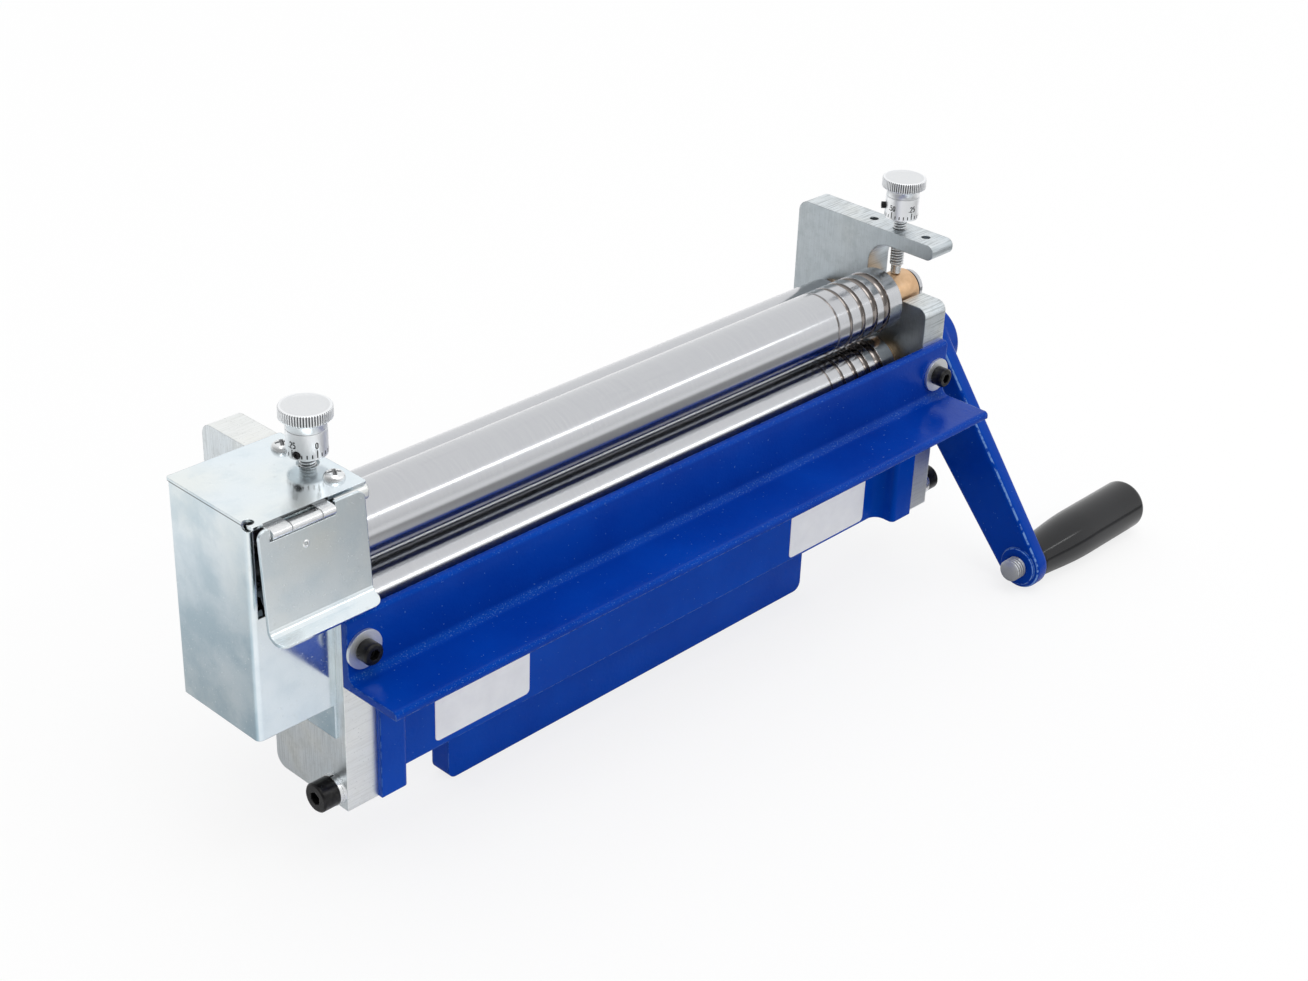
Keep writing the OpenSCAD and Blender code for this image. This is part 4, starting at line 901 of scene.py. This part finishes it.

# Tongue of the hinge leaf that closes the slit between the lid and the flap's knuckle: a strip that is bent down in
# front by a quarter circle, carried along X. Its top carries the zinc sheet's painted shade of the slit.
TONGUE_BACK_Y, BEND_Y, BEND_OUT_R, BEND_IN_R = -15.6, -17.9, 1.0, 0.6
low, high = span("flap_leaf")[:, 0]
leaf_top = span("hinge_leaf")[1, 2]
bend_z, tip_z = leaf_top - 1.75, leaf_top - 3.0
bend = np.linspace(0, TAU / 4, 8)
sides = []
for radius in (BEND_OUT_R, BEND_IN_R):
    arc = np.stack([BEND_Y - radius * np.sin(bend), bend_z + radius * np.cos(bend)], -1)
    sides.append(np.concatenate([[(TONGUE_BACK_Y, bend_z + radius)], arc, [(BEND_Y - radius, tip_z)]]))
loop = np.concatenate([sides[0], sides[1][::-1]])
count = len(loop)
ends = np.repeat(np.array([[low - 0.3], [high + 0.3]]), count, 1)
strip = np.stack([ends, np.tile(loop[:, 0], (2, 1)), np.tile(loop[:, 1], (2, 1))], -1)
caps = [list(range(count)), list(range(count, 2 * count))]
finished("hinge_tongue", strip, grid_faces(2, count) + caps, "zinc_sheet", "frame")

# Both cross-recess screws of the cover as one piece.
heads = [cross_head_screw((-SCREW_X, ROLL_Y + s * COVER_SCREW_Y, 0)) for s in (-1, 1)]
shells, grooves = zip(*heads)
cover_shell, cover_groove = joined(*shells), np.concatenate(grooves)
cover_heads = finished("cross_head_screws", *cover_shell, "zinc_hardware", "frame", cover_groove)
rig.replaces(cover_heads, "cover_screws")

# Bare labels on the web of the base, by their low and high corners in X and Z.
bare_label("label_left", (-120.0, 17.05), (-72.0, 36.75))
bare_label("label_right", (82.0, 15.25), (132.0, 36.55))

# Spot weld on the flap: a shallow ring that rises and falls with the radius, laid on the leaning face.
WELD_X, WELD_DOWN, WELD_R, WELD_RINGS, WELD_SIDES = -183.5, 8.0, 1.5, 14, 48
FLAP_HALF = 0.3
t = np.linspace(0, TAU, WELD_SIDES, endpoint=False)
r = np.linspace(0, WELD_R, WELD_RINGS)[:, None]
rise = 0.3 * np.exp(-((r - 0.95) / 0.28) ** 2) - 0.02
# Painted shade in the weld's centre, carried as groove values.
pit_shade = np.exp(-((r - 0.45) / 0.3) ** 2) * 0.9
face_x, face_s = WELD_X + r * np.cos(t), WELD_DOWN + r * np.sin(t)
lean_cos, lean_sin = math.cos(FLAP_LEAN), math.sin(FLAP_LEAN)
weld_y = HINGE_Y - FLAP_HALF * lean_cos - face_s * lean_sin - rise * lean_cos
weld_z = HINGE_Z - face_s * lean_cos + rise * lean_sin
weld = np.stack([face_x, weld_y, weld_z], -1), grid_faces(WELD_RINGS, WELD_SIDES)
finished("flap_weld", *weld, "zinc_hardware", "flap", np.repeat(pit_shade, WELD_SIDES, 1))

# Crank: a flat arm with rounded edges, its hub and the low boss round the spindle, as one casting.
ARM_EDGE, HUB_BORE, HUB_EDGE = 1.8, 6.05, 1.4
BOSS_R, BOSS_BORE, BOSS_EDGE, BOSS_PROUD, BOSS_SUNK = 8.8, 5.0, 0.8, 1.2, 1.0
boss_face = ARM_IN - BOSS_PROUD
arm = finished("crank_casting", *joined(
    link_shell(ARM_IN, ARM_OUT, ARM_EDGE),
    ring_shell(HUB_IN, HUB_OUT, HUB_R, HUB_BORE, HUB_EDGE, ROLL_Y, LOWER_Z),
    ring_shell(boss_face, ARM_IN + BOSS_SUNK, BOSS_R, BOSS_BORE, BOSS_EDGE, CRANK_Y, CRANK_Z)),
    "blue_paint", "lower_rotor")
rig.replaces(arm, "crank_arm")

# Spindle: a plain pin with a thread on the stub that shows, a chamfered end and a round head in the grip's
# recess.
SPINDLE_R, STUB_PITCH, STUB_CUT, STUB_FADE = 4.98, 1.5, 0.8, 0.3
STUB_CHAMFER, HEAD_R, HEAD_LEN, SPINDLE_SIDES = 0.6, 7.5, 5.0, 96
stub, tail = span("handle_spindle")[:, 0]
seat = tail - HEAD_LEN
rod = [(0, stub), (4.0, stub), (SPINDLE_R, stub + STUB_CHAMFER)]
rod += [(SPINDLE_R, x) for x in np.arange(stub + STUB_CHAMFER + 0.1, boss_face, 0.12)]
rod += [(SPINDLE_R, seat), (HEAD_R - 0.3, seat), (HEAD_R, seat + 0.3), (HEAD_R, tail - 0.8)]
rod += [(HEAD_R - 0.3, tail - 0.2), (HEAD_R - 1.1, tail), (0, tail)]
thread = thread_depth(STUB_PITCH, stub + STUB_CHAMFER, boss_face, STUB_FADE)
spindle = threaded("threaded_spindle", (0, CRANK_Y, CRANK_Z), "lower_rotor", rod, SPINDLE_R, thread, STUB_CUT,
                   "washer_zinc", "x", SPINDLE_SIDES)
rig.replaces(spindle, "handle_spindle")

# Grip: the radius swells by a sine up to half its length, then runs straight and rounds over at the end.
GRIP_BORE, RECESS_R, RECESS_DEEP, END_ROUND, GRIP_SIDES = 5.06, 8.5, 8.0, 3.0, 112
share = np.linspace(0, 1, 70)
swell = np.sin(TAU / 4 * np.minimum(1, share / 0.5)) ** 1.4
grip_radius = (GRIP_D + (GRIP_MAX_D - GRIP_D) * swell) / 2
turn = np.linspace(0, TAU / 4, 10)[1:]
round_from = GRIP_LEN - END_ROUND
recess = GRIP_LEN - RECESS_DEEP
grip_rows = [(GRIP_BORE, 0.0), (8.5, 0.0), (9.0, 0.12)]
grip_rows += list(zip(grip_radius[1:], share[1:] * round_from))
grip_rows += list(zip(GRIP_MAX_D / 2 - END_ROUND * (1 - np.cos(turn)), round_from + END_ROUND * np.sin(turn)))
grip_rows += [(RECESS_R + 0.2, GRIP_LEN), (RECESS_R, GRIP_LEN - 0.2), (RECESS_R, recess), (GRIP_BORE, recess)]
grip_rows += [(GRIP_BORE, 0.0)]
grip_points = placed(turned(grip_rows, GRIP_SIDES), (GRIP_X, CRANK_Y, CRANK_Z), "x")
grip = finished("gloss_grip", grip_points, grid_faces(len(grip_rows), GRIP_SIDES), "black_plastic", "grip")
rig.replaces(grip, "handle_grip")

# Camera: solved from the photo's straight edges; its place is in metres.
AZIMUTH, ELEVATION, ROLL = math.radians(-47.117), math.radians(29.022), math.radians(2.336)
CAMERA_PLACE = (-0.556066, -0.521909, 0.498699)
FOCAL_PIXELS, PHOTO_WIDTH_PIXELS, SENSOR_WIDTH = 2183.92, 1308, 36.0
level = math.cos(ELEVATION)
back = np.array([math.sin(AZIMUTH) * level, -math.cos(AZIMUTH) * level, math.sin(ELEVATION)])
right = np.array([math.cos(AZIMUTH), math.sin(AZIMUTH), 0.0])
up = np.cross(back, right)
rolled_right = math.cos(ROLL) * right + math.sin(ROLL) * up
rolled_up = -math.sin(ROLL) * right + math.cos(ROLL) * up
lens = bpy.data.cameras.new("camera")
lens.sensor_fit = "HORIZONTAL"
lens.sensor_width = SENSOR_WIDTH
lens.lens = SENSOR_WIDTH * FOCAL_PIXELS / PHOTO_WIDTH_PIXELS
lens.clip_start = 0.01
camera = bpy.data.objects.new("camera", lens)
turned_view = Matrix(np.stack([rolled_right, rolled_up, back], 1).tolist()).to_4x4()
camera.matrix_world = Matrix.Translation(CAMERA_PLACE) @ turned_view
bpy.context.scene.collection.objects.link(camera)
bpy.context.scene.camera = camera

# Floor: a wide pale plane, white to the camera but for the shadow; for metal its colour is painted: darker close
# behind the part, as painted shade, and to the right in front of it, apart from a strip by the right foot, as a
# painted dark reflection.
FLOOR_REACH, FLOOR_PLAIN, FLOOR_FRONT, FLOOR_BEHIND, CAMERA_WHITE = 60.0, 0.84, 0.86, 0.54, 0.8
floor_paint = Paint("floor", roughness=0.8, specular_ior_level=0.1)
light_path = floor_paint.node("ShaderNodeLightPath")
floor_x, floor_y, _ = floor_paint.axes()
aside = (abs(floor_x + 15) - 185).most(0)
# Painted shade that metal sees on the floor close behind the part.
behind_tone = FLOOR_BEHIND + (aside * aside + (floor_y - 20) * (floor_y - 20)).root().step(90, 330) * 0.38
dim = 0.58 - floor_x.step(170, 195) * floor_y.step(-150, -115) * 0.5
front_tone = FLOOR_FRONT - floor_x.step(-190, 120) * floor_y.step(-520, -330) * floor_y.step(-5, -45) * dim
mirrored = front_tone + floor_y.step(-40, 60) * (behind_tone - front_tone)
floor_paint.set("Base Color", FLOOR_PLAIN + light_path.out("Is Glossy Ray") * (mirrored - FLOOR_PLAIN))
white = floor_paint.node("ShaderNodeEmission", None, {"Color": (1, 1, 1), "Strength": 1.0})
mixed = floor_paint.node("ShaderNodeMixShader", None, {0: light_path.out("Is Camera Ray") * CAMERA_WHITE})
output = floor_paint.tree.nodes["Material Output"]
floor_paint.tree.links.new(floor_paint.shader.outputs[0], mixed.made.inputs[1])
floor_paint.tree.links.new(white.made.outputs[0], mixed.made.inputs[2])
floor_paint.tree.links.new(mixed.made.outputs[0], output.inputs["Surface"])
floor_mesh = bpy.data.meshes.new("floor")
corners = np.array([(-1, -1), (1, -1), (1, 1), (-1, 1)]) * FLOOR_REACH
floor_mesh.from_pydata(np.column_stack([corners, np.full(4, FLOOR_Z * MM)]).tolist(), [], [(0, 1, 2, 3)])
floor_mesh.materials.append(floor_paint.material)
floor = bpy.data.objects.new("floor", floor_mesh)
bpy.context.scene.collection.objects.link(floor)
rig.stage(floor)


def lamp(name, kind, energy, place, aim, **settings):
    """A light at a place, in metres, that shines along aim; its own Y follows the X axis."""
    data = bpy.data.lights.new(name, kind)
    data.energy = energy
    for key, value in settings.items():
        setattr(data, key, value)
    light = bpy.data.objects.new(name, data)
    back = -Vector(aim).normalized()
    along = (Vector((1, 0, 0)) - back * back.x).normalized()
    turn = Matrix((along.cross(back), along, back)).transposed().to_4x4()
    light.matrix_world = Matrix.Translation(place) @ turn
    bpy.context.scene.collection.objects.link(light)


lamp("top_light", "SUN", 0.9, (0, 0, 2), (0.15, 0.35, -1.0), angle=math.radians(40))
lamp("strip_light", "AREA", 1.9, (0.48, -1.06, 0.86), (0, 1.06, -0.76),
     shape="RECTANGLE", size=0.07, size_y=1.7)

# World: white to the camera; otherwise a bright room that darkens to the left, so that metal shows bright and
# dark bands.
SKY_DARK, SKY_GAIN = 0.38, 0.64
world = bpy.data.worlds.new("studio")
bpy.context.scene.world = world
world.use_nodes = True
sky = Graph(world.node_tree)
look = sky.node("ShaderNodeSeparateXYZ", None, {0: sky.node("ShaderNodeTexCoord").out("Generated")})
sky_x, sky_y, sky_z = (look.out(i) for i in range(3))
lit = (sky_x * 0.75 + sky_y * 0.25 + sky_z * 0.65).step(-0.5, 0.6)
sky_tone = SKY_DARK + lit * SKY_GAIN
seen = sky.node("ShaderNodeLightPath").out("Is Camera Ray")
sky.plug(world.node_tree.nodes["Background"].inputs["Color"], sky_tone + seen * (1 - sky_tone))

bpy.context.scene.view_settings.view_transform = "Standard"

with open("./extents.json", "w") as out:
    json.dump({"cad": [list(c) for c in cad_box], "visual": [list(c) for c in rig.bounds()]}, out)
